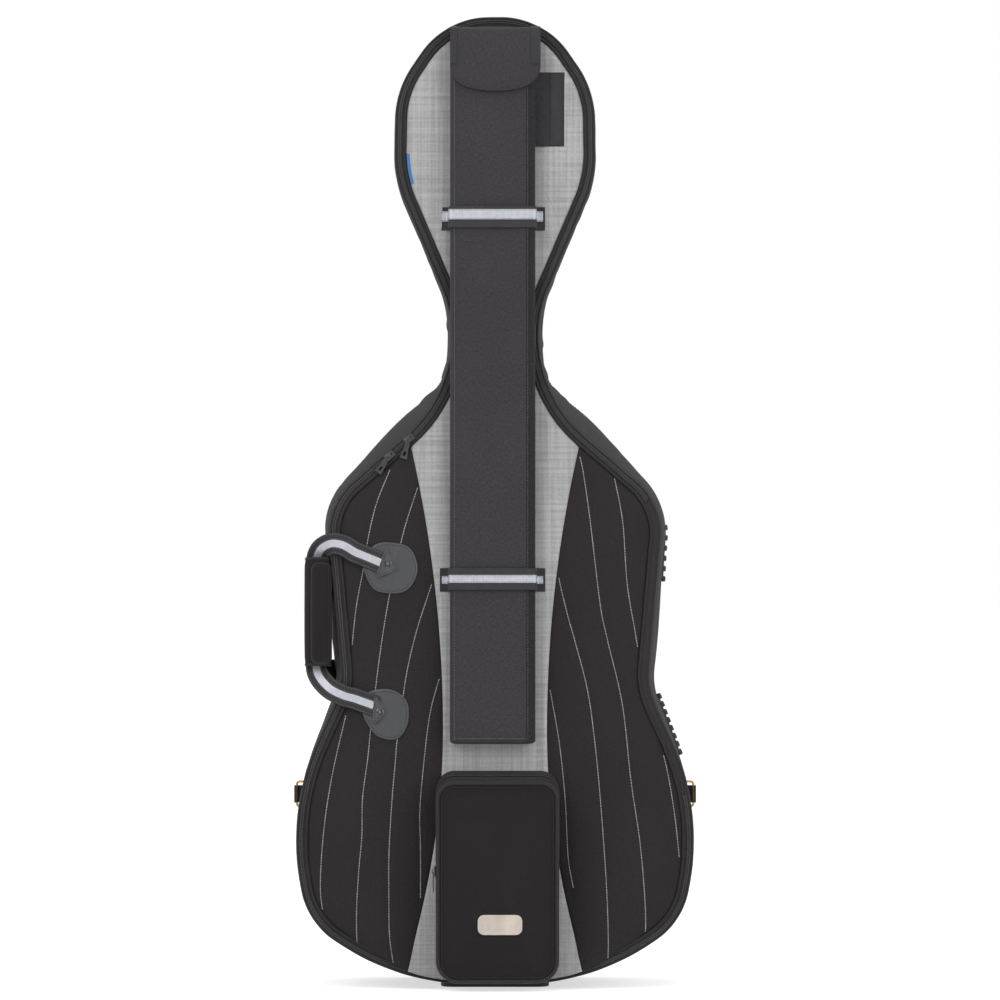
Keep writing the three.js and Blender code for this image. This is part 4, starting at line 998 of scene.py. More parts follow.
class Repeats:
    """Geometry Nodes that set copies of one small piece along guide lines, evenly spaced."""

    inputs = (
        ("Guide", "Geometry"), ("Piece", "Object"), ("Spacing", "Float"), ("Size", "Vector"),
        ("Unevenness", "Float"), ("Seed", "Int"), ("Finish", "Material"),
    )

    @classmethod
    def tree(cls) -> bpy.types.GeometryNodeTree:
        """The node tree, built once."""
        tree = bpy.data.node_groups.get("pieces_along_lines")
        if tree:
            return tree
        tree = bpy.data.node_groups.new("pieces_along_lines", "GeometryNodeTree")
        for name, kind in cls.inputs:
            tree.interface.new_socket(name, in_out="INPUT", socket_type="NodeSocket" + kind)
        tree.interface.new_socket("Result", in_out="OUTPUT", socket_type="NodeSocketGeometry")

        add = partial(add_node, tree)
        given = tree.nodes.new("NodeGroupInput").outputs
        curve = add("GeometryNodeMeshToCurve", {"Mesh": given["Guide"]})
        even = add(
            "GeometryNodeResampleCurve", {"Curve": curve.outputs[0], "Length": given["Spacing"]},
            mode="LENGTH"
        )
        facing = add("GeometryNodeInputNamedAttribute", {"Name": "facing"}, data_type="FLOAT_VECTOR")
        tangent = add("GeometryNodeInputTangent", {})
        upright = add("FunctionNodeAlignRotationToVector", {"Vector": facing.outputs[0]}, axis="Z")
        inputs = {"Rotation": upright.outputs[0], "Vector": tangent.outputs[0]}
        turned = add("FunctionNodeAlignRotationToVector", inputs, axis="X", pivot_axis="Z")
        least = add("ShaderNodeMath", {0: 1.0, 1: given["Unevenness"]}, operation="SUBTRACT")
        most = add("ShaderNodeMath", {0: 1.0, 1: given["Unevenness"]}, operation="ADD")
        inputs = {2: least.outputs[0], 3: most.outputs[0], "Seed": given["Seed"]}
        chance = add("FunctionNodeRandomValue", inputs, data_type="FLOAT")
        size = add("ShaderNodeVectorMath", {0: given["Size"], "Scale": chance.outputs[1]}, operation="SCALE")
        source = add("GeometryNodeObjectInfo", {"Object": given["Piece"]})
        placed = add("GeometryNodeInstanceOnPoints", {
            "Points": even.outputs[0], "Instance": source.outputs["Geometry"], "Rotation": turned.outputs[0],
            "Scale": size.outputs[0],
        })
        real = add("GeometryNodeRealizeInstances", {"Geometry": placed.outputs[0]})
        dressed = add("GeometryNodeSetMaterial", {"Geometry": real.outputs[0], "Material": given["Finish"]})
        add("NodeGroupOutput", {0: dressed.outputs[0]})
        return tree

    @classmethod
    def mesh(
        cls, name: str, lines: Sequence[Array], facings: Sequence[Array], piece: Array,
        spacing: float, finish: Finish, size: Point = (1, 1, 1), unevenness: float = 0.0, seed: int = 1,
    ) -> bpy.types.Mesh:
        """Mesh of the copies along guide lines.

        Args:
            name: the mesh's name.
            lines: the guide lines, each an array of points.
            facings: for each line, the outward direction at its points.
            piece: ring sections of the small piece, with X along the line and Z outwards.
            spacing: the distance between copies.
            finish: what they are made of.
            size: the copies' scale along, across and outwards.
            unevenness: how much the scale varies.
            seed: the seed of that variation.

        Returns:
            A plain mesh.
        """
        points, edges, outward = [], [], []
        for line, facing in zip(lines, facings):
            start = len(points)
            points.extend(np.asarray(line).tolist())
            outward.extend(np.broadcast_to(facing, np.shape(line)).tolist())
            edges.extend((k, k + 1) for k in range(start, len(points) - 1))
        guide = bpy.data.meshes.new("guide")
        guide.from_pydata(points, edges, [])
        guide.attributes.new("facing", "FLOAT_VECTOR", "POINT").data.foreach_set("vector", np.ravel(outward))
        holder = bpy.data.objects.new("guide", guide)
        source = bpy.data.objects.new("source", skin_mesh("source", piece, ring=True))
        for item in (holder, source):
            bpy.context.scene.collection.objects.link(item)
        modifier = holder.modifiers.new("pieces", "NODES")
        modifier.node_group = cls.tree()
        values = {
            "Piece": source, "Spacing": spacing, "Size": tuple(size), "Unevenness": unevenness, "Seed": seed,
            "Finish": finish.material(),
        }
        for socket in modifier.node_group.interface.items_tree:
            if socket.in_out == "INPUT" and socket.name in values:
                modifier[socket.identifier] = values[socket.name]
        graph = bpy.context.evaluated_depsgraph_get()
        evaluated = holder.evaluated_get(graph)
        made = bpy.data.meshes.new_from_object(evaluated, preserve_all_data_layers=True, depsgraph=graph)
        for item in (holder, source):
            spare = item.data
            bpy.data.objects.remove(item)
            bpy.data.meshes.remove(spare)
        made.name = name
        return made


def grain_piece(length: float, width: float, height: float, sides: int = 6, sink: float = 0.3) -> Array:
    """A small rounded bar along X.

    Args:
        length: its length.
        width: its width along Y.
        height: its height along Z.
        sides: how many points go round it.
        sink: the share of its height that is sunk in what it lies on.

    Returns:
        Its ring sections.
    """
    turn = 2 * np.pi * np.arange(sides) / sides
    rise = height / 2 * np.sin(turn) + height * (0.5 - sink)
    ring = np.column_stack([np.zeros(sides), width / 2 * np.cos(turn), rise])
    rows = []
    for x, share in ((-0.5, 0.35), (-0.36, 1.0), (0.36, 1.0), (0.5, 0.35)):
        row = ring.copy()
        row[:, 0] = x * length
        row[:, 1:] *= share
        rows.append(row)
    return np.stack(rows)


def stitches(
    name: str, lines: Sequence[Array], body: str, slot: str, facings: Sequence[Point] | None = None,
    finish: Finish = DARK_THREAD, length: float = 0.0032, spacing: float = 0.0042, width: float = 0.0009,
    bent: tuple | None = None,
) -> None:
    """Rows of sewing stitches along lines.

    Args:
        name: the piece's name.
        lines: the seams, each an array of points on the cloth.
        body: the body that the cloth moves with.
        slot: the record's material slot.
        facings: the cloth's outward direction along each, if it isn't the way that the front faces.
        finish: the thread.
        length: one stitch's length.
        spacing: from one stitch to the next.
        width: the thread's width.
        bent: as in place().
    """
    facings = facings or [SHAPE.lid_out] * len(lines)
    stitch = grain_piece(length, width, width)
    mesh = Repeats.mesh(name, lines, facings, stitch, spacing, finish, unevenness=0.08)
    place(name, mesh, finish, body, slot, bent=bent)


@dataclass
class Studio:
    """Camera, lamps, world and floor."""

    distance: float = 9.0
    frame_width: float = 1.4
    aim: tuple = mm(7, -90, 683)
    floor_reach: float = 30.0
    floor_glow: float = 0.62
    ambient: float = 0.55
    lamps: tuple = (
        ("key", (-2.2, -3.0, 3.0), 2.6, 55),
        ("fill", (2.6, -2.6, 1.8), 2.6, 37),
        ("top", (0.0, -0.4, 3.6), 2.0, 27),
    )

    def build(self) -> None:
        """Places everything that isn't part of the object."""
        scene = bpy.context.scene
        scene.view_settings.view_transform = "Standard"
        camera = bpy.data.cameras.new("camera")
        camera.lens = camera.sensor_width * self.distance / self.frame_width
        viewer = bpy.data.objects.new("camera", camera)
        viewer.location = (self.aim[0], self.aim[1] - self.distance, self.aim[2])
        viewer.rotation_euler = (math.pi / 2, 0, 0)
        scene.collection.objects.link(viewer)
        scene.camera = viewer
        self.world()
        for lamp in self.lamps:
            self.lamp(*lamp)
        self.floor()

    def lamp(self, name: str, place: Point, size: float, watts: float) -> None:
        """One soft lamp that looks at the middle of the object.

        Args:
            name: name of the lamp.
            place: where it stands.
            size: side of its square.
            watts: its power.
        """
        data = bpy.data.lights.new(name, "AREA")
        data.shape, data.size, data.energy = "SQUARE", size, watts
        made = bpy.data.objects.new(name, data)
        made.location = place
        look = Vector((0, 0, self.aim[2])) - Vector(place)
        made.rotation_euler = look.to_track_quat("-Z", "Y").to_euler()
        bpy.context.scene.collection.objects.link(made)

    def world(self) -> None:
        """Soft light all round, and plain white to the camera and to glossy rays."""
        world = bpy.data.worlds.new("studio")
        bpy.context.scene.world = world
        world.use_nodes = True
        tree = world.node_tree
        background = tree.nodes["Background"]
        inputs = {"Value": seen_rays(tree), "To Min": self.ambient, "To Max": 1.0}
        strength = add_node(tree, "ShaderNodeMapRange", inputs)
        feed(tree, background.inputs["Strength"], strength.outputs[0])
        feed(tree, background.inputs["Color"], (1, 1, 1, 1))

    def floor(self) -> None:
        """Pale floor that keeps the object's shadow and otherwise reads as white."""
        mesh = bpy.data.meshes.new("floor")
        corners = [
            (x * self.floor_reach, y * self.floor_reach, 0) for x, y in ((-1, -1), (1, -1), (1, 1), (-1, 1))
        ]
        mesh.from_pydata(corners, [], [(0, 1, 2, 3)])
        floor = bpy.data.objects.new("floor", mesh)
        bpy.context.scene.collection.objects.link(floor)
        material = bpy.data.materials.new("pale_floor")
        nodes = Nodes(material)
        nodes.set(Base_Color=(0.86, 0.86, 0.86, 1), Roughness=0.9, Specular_IOR_Level=0.1)
        glow = nodes.math("MULTIPLY", seen_rays(nodes.tree), self.floor_glow)
        nodes.set(Emission_Color=(1, 1, 1, 1), Emission_Strength=glow)
        mesh.materials.append(material)


@dataclass
class Pinstripes:
    """Pale stitched lines down the black panels, each through points of across and up."""

    left: tuple = (
        pairs(
            (-148, 711), (-164, 671), (-172, 643), (-179, 609), (-185, 570), (-194, 522), (-200, 465),
            (-200, 437),
        ),
        pairs((-209, 367), (-223, 307), (-234, 248), (-241, 189), (-244, 130), (-241, 95)),
        pairs(
            (-109, 686), (-123, 643), (-132, 609), (-147, 540), (-158, 475), (-167, 407), (-174, 347),
            (-178, 307),
            (-185, 253), (-186, 200), (-190, 154), (-193, 102), (-193, 62), (-190, 39),
        ),
        pairs(
            (-88, 554), (-109, 489), (-122, 435), (-129, 392), (-137, 332), (-139, 307), (-144, 248),
            (-148, 175),
            (-148, 105), (-147, 62), (-140, 22),
        ),
        pairs((-74, 433), (-90, 375), (-99, 307), (-105, 234), (-104, 181), (-104, 115)),
    )
    right: tuple = (
        pairs((70, 454), (77, 405), (90, 329), (98, 251), (102, 171), (109, 129)),
        pairs(
            (83, 595), (91, 553), (102, 507), (111, 475), (129, 405), (139, 335), (147, 253), (155, 140),
            (158, 64), (157, 22),
        ),
        pairs(
            (116, 741), (123, 713), (133, 643), (147, 525), (157, 475), (178, 384), (190, 277), (203, 186),
            (210, 95), (209, 40),
        ),
        pairs((168, 699), (179, 638), (185, 553), (196, 486), (204, 438)),
        pairs((223, 353), (238, 304), (249, 244), (256, 186), (262, 111), (259, 80)),
    )
    inset: float = 0.003

    def lines(self) -> list[Array]:
        """The lines, resampled and kept inside the panels.

        Returns:
            One array of across and up for each line.
        """
        made = []
        for line in self.left + self.right:
            fine = smooth_line(line, 0.004)
            half, up = np.abs(fine[:, 0]), fine[:, 1]
            inside = (half < SHAPE.half_at(up) - self.inset) & (half > SHAPE.seam_at(up) + self.inset)
            fine = fine[inside & (up > SHAPE.side_low) & (up < SHAPE.side_high)]
            if len(fine) > 3:
                made.append(fine)
        return made

    def build(self) -> None:
        """Stitches each line."""
        placed = [SHAPE.panel(*line.T, SHAPE.skin(*line.T)) for line in SHAPE.stripes]
        stitches(
            "pinstripe_stitching", placed, "lid", "tag", finish=PALE_THREAD, length=0.0034, spacing=0.0039,
            width=0.0013
        )


@dataclass
class Creases:
    """Random soft folds across the wall's cloth, deeper where the outline turns inwards."""

    count: int = 190
    seed: int = 11
    kinks: tuple = (
        *(
            (side, *mm(up, deep, wide)) for side in Side
            for up, deep, wide in ((806, -4.2, 15), (833, 3.2, 5), (850, -2.2, 9))
        ),
        *(
            (Side.RIGHT, *mm(up, deep, wide))
            for up, deep, wide in ((880, 2.6, 5), (893, -2, 8), (925, 2.4, 6), (762, 1.8, 5))
        ),
        *(
            (Side.LEFT, *mm(up, deep, wide))
            for up, deep, wide in ((905, 2.2, 6), (921, -1.6, 9), (775, 1.6, 5))
        ),
    )

    def depth(self, marks: Array, share: Array) -> Array:
        """Depth of the folds.

        Args:
            marks: distances along the zip line.
            share: how far from the front to the back.

        Returns:
            One row a mark, one column a share.
        """
        chance = np.random.default_rng(self.seed)
        total = np.zeros((len(marks), share.shape[-1]))
        length = SHAPE.line.length
        for _ in range(self.count):
            mark = chance.uniform(0, length)
            up = SHAPE.line.at(np.array([mark]))[0, 1]
            deep = 0.35 + 1.9 * hump(up, 0.90, 0.11) + 0.9 * hump(up, 0.44, 0.12)
            amount = deep * chance.uniform(0.3, 1.0) * MM
            wide, tall = chance.uniform(0.005, 0.014), chance.uniform(0.16, 0.5)
            centre, lean = chance.uniform(0.1, 0.9), chance.uniform(-0.05, 0.05)
            away = (marks[:, None] - mark + length / 2) % length - length / 2
            along = share[None, :] - centre
            shift = away - lean * along
            fold = hump(shift, 0, wide) - 0.4 * hump(shift, 1.6 * wide, wide)
            total += amount * fold * hump(along, 0, tall)
        for side, up, deep, wide in self.kinks:
            away = (marks[:, None] - SHAPE.mark_at(up, side) + length / 2) % length - length / 2
            total += deep * np.exp(-((away / wide) ** 2) - ((share[None, :] - 0.5) / 0.42) ** 4)
        return total


@dataclass
class Gusset:
    """Wall between the front and the back: outer cloth, padded lining and the three piped edges."""

    step: float = 0.005
    columns: int = 40
    front_low: float = -0.0012
    back_inside: float = 0.003
    belly: float = 0.0022
    shoulder: tuple = mm(700, 130, 5)
    piping: float = 0.0018
    edge_out: float = 0.005
    edge_in: float = 0.0075
    lining_out: float = 0.0026
    lining_in: float = -0.0087

    def reach(self, marks: Array, share: Array) -> Array:
        """Outward reach of the wall's cloth without its folds.

        Args:
            marks: distances along the zip line.
            share: how far from the front to the back.

        Returns:
            The reach.
        """
        up = SHAPE.line.at(marks)[:, 1][:, None]
        swell = np.sin(np.pi * share)[None, :]
        return SHAPE.gusset_reach + swell * (self.belly + SHAPE.bump(self.shoulder, up))

    def build(self) -> None:
        """Makes the wall's pieces."""
        marks = SHAPE.line.even(self.step)
        share = np.linspace(0, 1, self.columns)
        quiet = np.minimum(1, 12 * np.minimum(share, 1 - share))
        up = SHAPE.line.at(marks)
        bumpers = blend(0.28, 0.30, up[:, 1]) * (1 - blend(0.64, 0.66, up[:, 1])) * (up[:, 0] > 0)
        folds = Creases().depth(marks, share) * quiet * (1 - bumpers)[:, None]
        reach = self.reach(marks, share) - folds
        faces = [
            SHAPE.wall(marks, share, at, self.front_low, self.back_inside)
            for at in (reach, reach - SHAPE.cloth)
        ]
        place(
            "gusset", slab(*faces), GUSSET_NYLON, "case", "black_nylon", ("wall_cloth",), loop=True, fill=0.5
        )
        self.lining(marks)
        self.pipings()
        self.seams()

    def lining(self, marks: Array) -> None:
        """Foam wall wrapped in lining cloth, its front edge rounded over."""
        inside = np.linspace(0, 1, 18)
        front = np.array([(-0.7, 0.0), (-0.35, -0.6), (0.0, -0.9)])
        middle, half = (self.lining_in + self.lining_out) / 2, (self.lining_out - self.lining_in) / 2
        rows = [
            SHAPE.wall(marks, np.array([0.0]), middle + half * a, low=-0.0001 - 0.004 * (1 + b), inside=0)
            for a, b in front
        ]
        nose = np.concatenate(rows[::-1], axis=1)
        quilt = 0.0006 * np.sin(14 * np.pi * inside) ** 8
        inner = SHAPE.wall(marks, inside, self.lining_in + quilt, low=-0.004, inside=0.0155)
        outer = SHAPE.wall(marks, inside, np.full(18, self.lining_out), low=-0.002, inside=0.003)
        grid = np.concatenate([outer[:, ::-1], nose, inner], axis=1)
        place(
            "padded_wall_lining", grid, LINING_CLOTH, "case", "lining", ("wall_lining", "wall_foam"),
            loop=True, fill=0.8,
        )

    def pipings(self) -> None:
        """Cord pipings: on the wall's front edge, on the front's rim and round the back."""
        marks = SHAPE.line.even(0.0035)
        ring = round_profile(self.piping, 12)
        lie = 0.00012 * np.sin(marks * 1900)[:, None]
        for name, reach, height, body, node in (
            ("wall_edge_piping", self.edge_out, 0.0009, "case", "wall_piping"),
            ("front_edge_piping", -self.edge_in, 0.0020, "lid", "front_piping"),
        ):
            grid = SHAPE.edge(marks, reach + ring[:, 0], height + ring[:, 1])
            place(name, grid + lie[..., None], EDGE_BINDING, body, "piping", (node,), loop=True)
            leg = np.array([(-0.0042 if body == "case" else 0.0042), 0.0])
            flange = SHAPE.edge(
                marks, reach + np.array([leg[0], 0, 0, leg[0]]), 0.0013 + np.array([0, 0, 0.0005, 0.0005])
            )
            place(name + "_tape", flange, EDGE_BINDING, body, "piping", loop=True)
        rows = []
        for reach, inside in self.edge_out + ring * (1, -1) + (0, 0.0):
            spots = SHAPE.back_place(marks, reach)
            rows.append(SHAPE.back(*spots.T, 0.0009 + (inside - self.edge_out)))
        grid = np.stack(rows, axis=1)
        place("back_edge_piping", grid, EDGE_BINDING, "case", "piping", ("back_piping",), loop=True)

    def seams(self) -> None:
        """Topstitching beside the wall's two edges."""
        marks = SHAPE.line.even(0.006)
        lines = []
        for share in (0.035, 0.965):
            spot = np.array([share])
            line = SHAPE.wall(marks, spot, self.reach(marks, spot), self.front_low, self.back_inside)
            lines.append(closed(line[:, 0]))
        stitches(
            "gusset_stitching", lines, "case", "black_nylon", [closed(SHAPE.wall_out(marks))] * 2,
            width=0.0010,
        )


@dataclass
class MainZip:
    """Coil zip round the opening, and the cloth hinge that leaves it out on the right."""

    pitch: float = 0.0024
    tape_in: float = -0.0054
    tape_out: float = 0.0030
    gap: float = 0.0003
    coil_reach: float = 0.0026

    def build(self) -> None:
        """Makes tapes, teeth and hinge."""
        hinge = [SHAPE.mark_at(up) for up in SHAPE.hinge]
        run = SHAPE.line.even(0.005, hinge[1] + 0.0005, SHAPE.line.length + hinge[0] - 0.0005)
        low, top = 0.0002, 0.0012
        for name, near, far, body, node in (
            ("wall_zip_tape_woven", self.gap, self.tape_out, "case", "wall_zip_tape"),
            ("front_zip_tape_woven", self.tape_in, -self.gap, "lid", "front_zip_tape"),
        ):
            grid = SHAPE.edge(run, [near, far, far, near], [low, low, top, top])
            place(name, grid, ZIP_TAPE, body, "zip_tape", (node,))
        places = SHAPE.line.at(run)
        for name, side, body, node in (
            ("wall_zip_teeth", 1, "case", "wall_zip_coil"), ("front_zip_teeth", -1, "lid", "front_zip_coil"),
        ):
            middle = side * (self.gap + self.coil_reach) / 2
            shift = (side > 0) * self.pitch / 2
            marks = SHAPE.line.even(0.004, run[0] + 0.002 + shift, run[-1] - 0.002)
            line = SHAPE.edge(marks, [middle], [0.0017])[:, 0]
            tooth = grain_piece(0.0013, self.coil_reach - self.gap, 0.0021, sides=8, sink=0.25)
            mesh = Repeats.mesh(name, [line], [SHAPE.lid_out], tooth, self.pitch, COIL_NYLON)
            place(name, mesh, COIL_NYLON, body, "zip_tape", (node,))
        marks = SHAPE.line.even(0.004, hinge[0] + 0.0005, hinge[1] - 0.0005)
        reach = np.linspace(self.tape_in, self.tape_out, 13)
        rise = 0.0012 + 0.0009 * np.sin(np.pi * np.linspace(0, 1, 13)) ** 2
        grid = SHAPE.edge(
            marks, np.concatenate([reach, reach[::-1]]), np.concatenate([rise, rise[::-1] - 0.001])
        )
        span = SHAPE.edge([np.mean(hinge)], [self.tape_out, self.tape_in], [0.0, 0.0])[0]
        place(
            "cloth_hinge_strip", grid, EDGE_BINDING, "case", "black_nylon", ("cloth_hinge",),
            bent=("lid", span[0], span[1])
        )


@dataclass
class FrontPanels:
    """Grey centre panel, black puffed side panels and the lining behind them."""

    rows: int = 420
    columns: int = 44

    def build(self) -> None:
        """Makes the three panels and the padded lining."""
        self.centre()
        for side in Side:
            self.side(side)
        self.lining()

    def centre(self) -> None:
        """Grey panel: the whole head and neck, and between the seams below."""
        share = (1 - np.cos(np.pi * np.linspace(0.004, 0.996, self.rows))) / 2
        up = SHAPE.edge_y[0] + (SHAPE.edge_y[-1] - SHAPE.edge_y[0]) * share
        edge = SHAPE.half_at(up)
        inside = (up > SHAPE.side_low) & (up < SHAPE.side_high)
        half = np.where(inside, np.minimum(edge, SHAPE.seam_at(up)), edge) - 0.0002
        across = np.sin(np.linspace(-np.pi / 2, np.pi / 2, 2 * self.columns))[None, :] * half[:, None]
        height = SHAPE.skin(across, up[:, None])
        room = half[:, None] - np.abs(across)
        height = height - 0.0009 * np.exp(-room / 0.0015)
        faces = [SHAPE.panel(across, up[:, None], at) for at in (height, 0.0)]
        place("grey_centre_panel", slab(*faces), GREY_NYLON, "lid", "grey_nylon", ("centre_panel",))

    def side(self, side: Side) -> None:
        """Black panel between the seam and the zip, ruled from its outer edge to the seam.

        Args:
            side: which of the two.
        """
        share = np.linspace(0, 1, self.rows)
        places = SHAPE.line.at(np.linspace(0, SHAPE.top_mark, 6000))
        edge = np.column_stack(pushed(places, -SHAPE.panel_inset))
        outer = placed_along(edge[(edge[:, 1] >= SHAPE.side_low) & (edge[:, 1] <= SHAPE.side_high)], share)
        up = np.linspace(SHAPE.side_low, SHAPE.side_high, 2000)
        inner = placed_along(np.column_stack([SHAPE.seam_at(up) + SEAM, up]), share)
        across = (1 - np.cos(np.pi * np.linspace(0, 1, 2 * self.columns))) / 2
        flat = inner[:, None] + (outer - inner)[:, None] * across[None, :, None]
        flat[..., 0] *= side.value
        height = SHAPE.skin(flat[..., 0], flat[..., 1])
        width = np.linalg.norm(outer - inner, axis=1)[:, None]
        room = np.minimum(across, 1 - across)[None, :] * width
        height = height - 0.0011 * np.exp(-room / 0.0016)
        faces = [SHAPE.panel(flat[..., 0], flat[..., 1], at) for at in (height, 0.0)]
        name = side.name.lower()
        place(
            f"{name}_side_padding", slab(*faces), BLACK_NYLON, "lid", "black_nylon", (f"{name}_side_panel",),
            fill=0.5,
        )

    @staticmethod
    def lining() -> None:
        """Foam behind the front, wrapped in lining cloth."""
        marks = SHAPE.mirrored_marks(0.008)
        places = SHAPE.line.at(marks)
        rows = []
        for reach, height in (
            (0.0020, -0.0004), (0.0020, -0.0022), (0.0, -0.0080), (-0.003, -0.0135), (-0.010, -0.0140),
            (-0.03, -0.0142),
        ):
            rows.append(SHAPE.edge(marks, [reach - SHAPE.panel_inset - 0.001], [height])[:, 0])
        inner = places[:, :2] - 0.04 * places[:, 2:4]
        for share in (0.75, 0.5, 0.25, 0.0):
            row = drawn_in(inner, share)
            rows.append(SHAPE.lid(*row.T, -0.0142))
        front = np.stack(rows, axis=0)
        mesh = welded("front_padded_lining", front[::-1].transpose(1, 0, 2))
        place(
            "front_padded_lining", mesh, LINING_CLOTH, "lid", "lining", ("front_foam", "front_lining"),
            fill=0.8,
        )


@dataclass
class BackPanel:
    """Outer back of the case and its padded lining."""

    def build(self) -> None:
        """Makes the back's cloth and the padding inside it."""
        marks = SHAPE.mirrored_marks(0.006)
        rows = []
        for reach, inside in (
            (0.0029, 0.0016), (0.0029, 0.0006), (0.0005, 0.0001), (-0.004, 0.0), (-0.012, 0.0), (-0.03, 0.0)
        ):
            spots = SHAPE.back_place(marks, reach)
            rows.append((spots, inside))
        outline = SHAPE.back_place(marks, -0.03)
        for share in (0.85, 0.7, 0.55, 0.515, 0.4, 0.2, 0.0):
            dip = 0.0009 if share == 0.515 else 0.0
            rows.append((drawn_in(outline, share), dip))
        outer = np.stack([SHAPE.back(*spots.T, inside) for spots, inside in rows])
        under = np.stack([SHAPE.back(*spots.T, 0.0016) for spots, _ in rows[::-1]])
        mesh = welded("back_cloth", np.concatenate([under, outer]).transpose(1, 0, 2))
        place("back_cloth", mesh, BLACK_NYLON, "case", "black_nylon", ("back_panel",))
        inner = [SHAPE.back_place(marks, -0.0122 - step) for step in (0.0, 0.0012, 0.006, 0.03)]
        rows = [
            (inner[0], 0.0019), (inner[0], 0.0120), (inner[1], 0.0148), (inner[2], 0.0156), (inner[3], 0.0156)
        ]
        for share in (0.8, 0.6, 0.4, 0.2, 0.0):
            rows.append((drawn_in(inner[3], share), 0.0156))
        grid = np.stack([SHAPE.back(*spots.T, inside) for spots, inside in rows]).transpose(1, 0, 2)
        place(
            "back_padded_lining", welded("back_padded_lining", grid), LINING_CLOTH, "case", "lining",
            ("back_foam", "back_lining"), fill=0.8,
        )


def rounded_run(points: Sequence[Point], radius: float, step: float = 0.002) -> Array:
    """A line of straight runs whose corners are rounded.

    Args:
        points: its corners and ends.
        radius: how far from a corner its rounding starts.
        step: the distance between the points returned.

    Returns:
        Evenly spaced points, one a row.
    """
    points = np.array(points, float)
    made = [points[:1]]
    shares = np.linspace(0, 1, 9)[:, None]
    for before, corner, after in zip(points, points[1:], points[2:]):
        back, ahead = before - corner, after - corner
        reach = min(radius, 0.48 * np.linalg.norm(back), 0.48 * np.linalg.norm(ahead))
        start, end = corner + normalised(back) * reach, corner + normalised(ahead) * reach
        made.append((1 - shares) ** 2 * start + 2 * shares * (1 - shares) * corner + shares**2 * end)
    return evenly(np.vstack([*made, points[-1:]]), step, 3)


def ribbon(path: Array, profile: Array) -> Array:
    """Sections of webbing that faces the way the front does, along rows of across, up and height."""
    along = normalised(np.gradient(path[:, :2], axis=0))
    side = along[:, :1] * SHAPE.lid_up - along[:, 1:2] * ACROSS
    return sections(SHAPE.lid(*path.T), side, profile)


def draped(ring: Array, seat: Callable, thickness: float, edge: float = 0.0008) -> Array:
    """Sections of a thin piece over a curved seat.

    Args:
        ring: its outline, as rows of across and up.
        seat: gives the height of its underside at places across and up.
        thickness: from its underside to its face.
        edge: how far its rounded edge reaches in.

    Returns:
        Ring sections from the middle of its face to the middle of its underside.
    """
    centre = ring.mean(axis=0)
    step = edge / np.linalg.norm(ring - centre, axis=1).mean()
    rows = []
    for share, rise in (
        *((share, 1.0) for share in (0.02, 0.2, 0.4, 0.6, 0.78, 0.9, 1 - step)),
        (1 - 0.3 * step, 0.85), (1.0, 0.5), (1 - 0.3 * step, 0.1), (0.9, 0.0), (0.5, 0.0), (0.02, 0.0),
    ):
        spots = centre + (ring - centre) * share
        rows.append(SHAPE.lid(*spots.T, seat(*spots.T) + thickness * rise))
    return np.stack(rows)


def wall_spot(marks: Array, behind: Array, reach: Array) -> Array:
    """Grid of places on the wall: one row a mark, one column a place along Y and an outward reach."""
    front = SHAPE.lid(0.0, SHAPE.line.at(marks)[:, 1], 0.0)[:, 1:2]
    return SHAPE.wall(marks, (np.asarray(behind) - front) / (SHAPE.back_face - front), reach)


@dataclass
class Dents:
    """Shallow random hollows over a flat cloth face, never above it."""

    low: float
    high: float
    half: float
    count: int
    deepest: float
    seed: int

    def depth(self, across: Array, up: Array) -> Array:
        """Depth of the hollows at places.

        Args:
            across: places across the quiver.
            up: places up it.

        Returns:
            The depth at each of them.
        """
        chance = np.random.default_rng(self.seed)
        total = np.zeros(np.broadcast_shapes(np.shape(across), np.shape(up)))
        for _ in range(self.count):
            x, y = chance.uniform(-self.half, self.half), chance.uniform(self.low, self.high)
            wide, tall = chance.uniform(0.012, 0.05), chance.uniform(0.02, 0.10)
            lean = chance.uniform(-0.4, 0.4)
            shift = (across - x) - lean * (up - y)
            total = total + chance.uniform(0.2, 1.0) * np.exp(-((shift / wide) ** 2) - ((up - y) / tall) ** 2)
        return self.deepest * (1 - np.exp(-total))


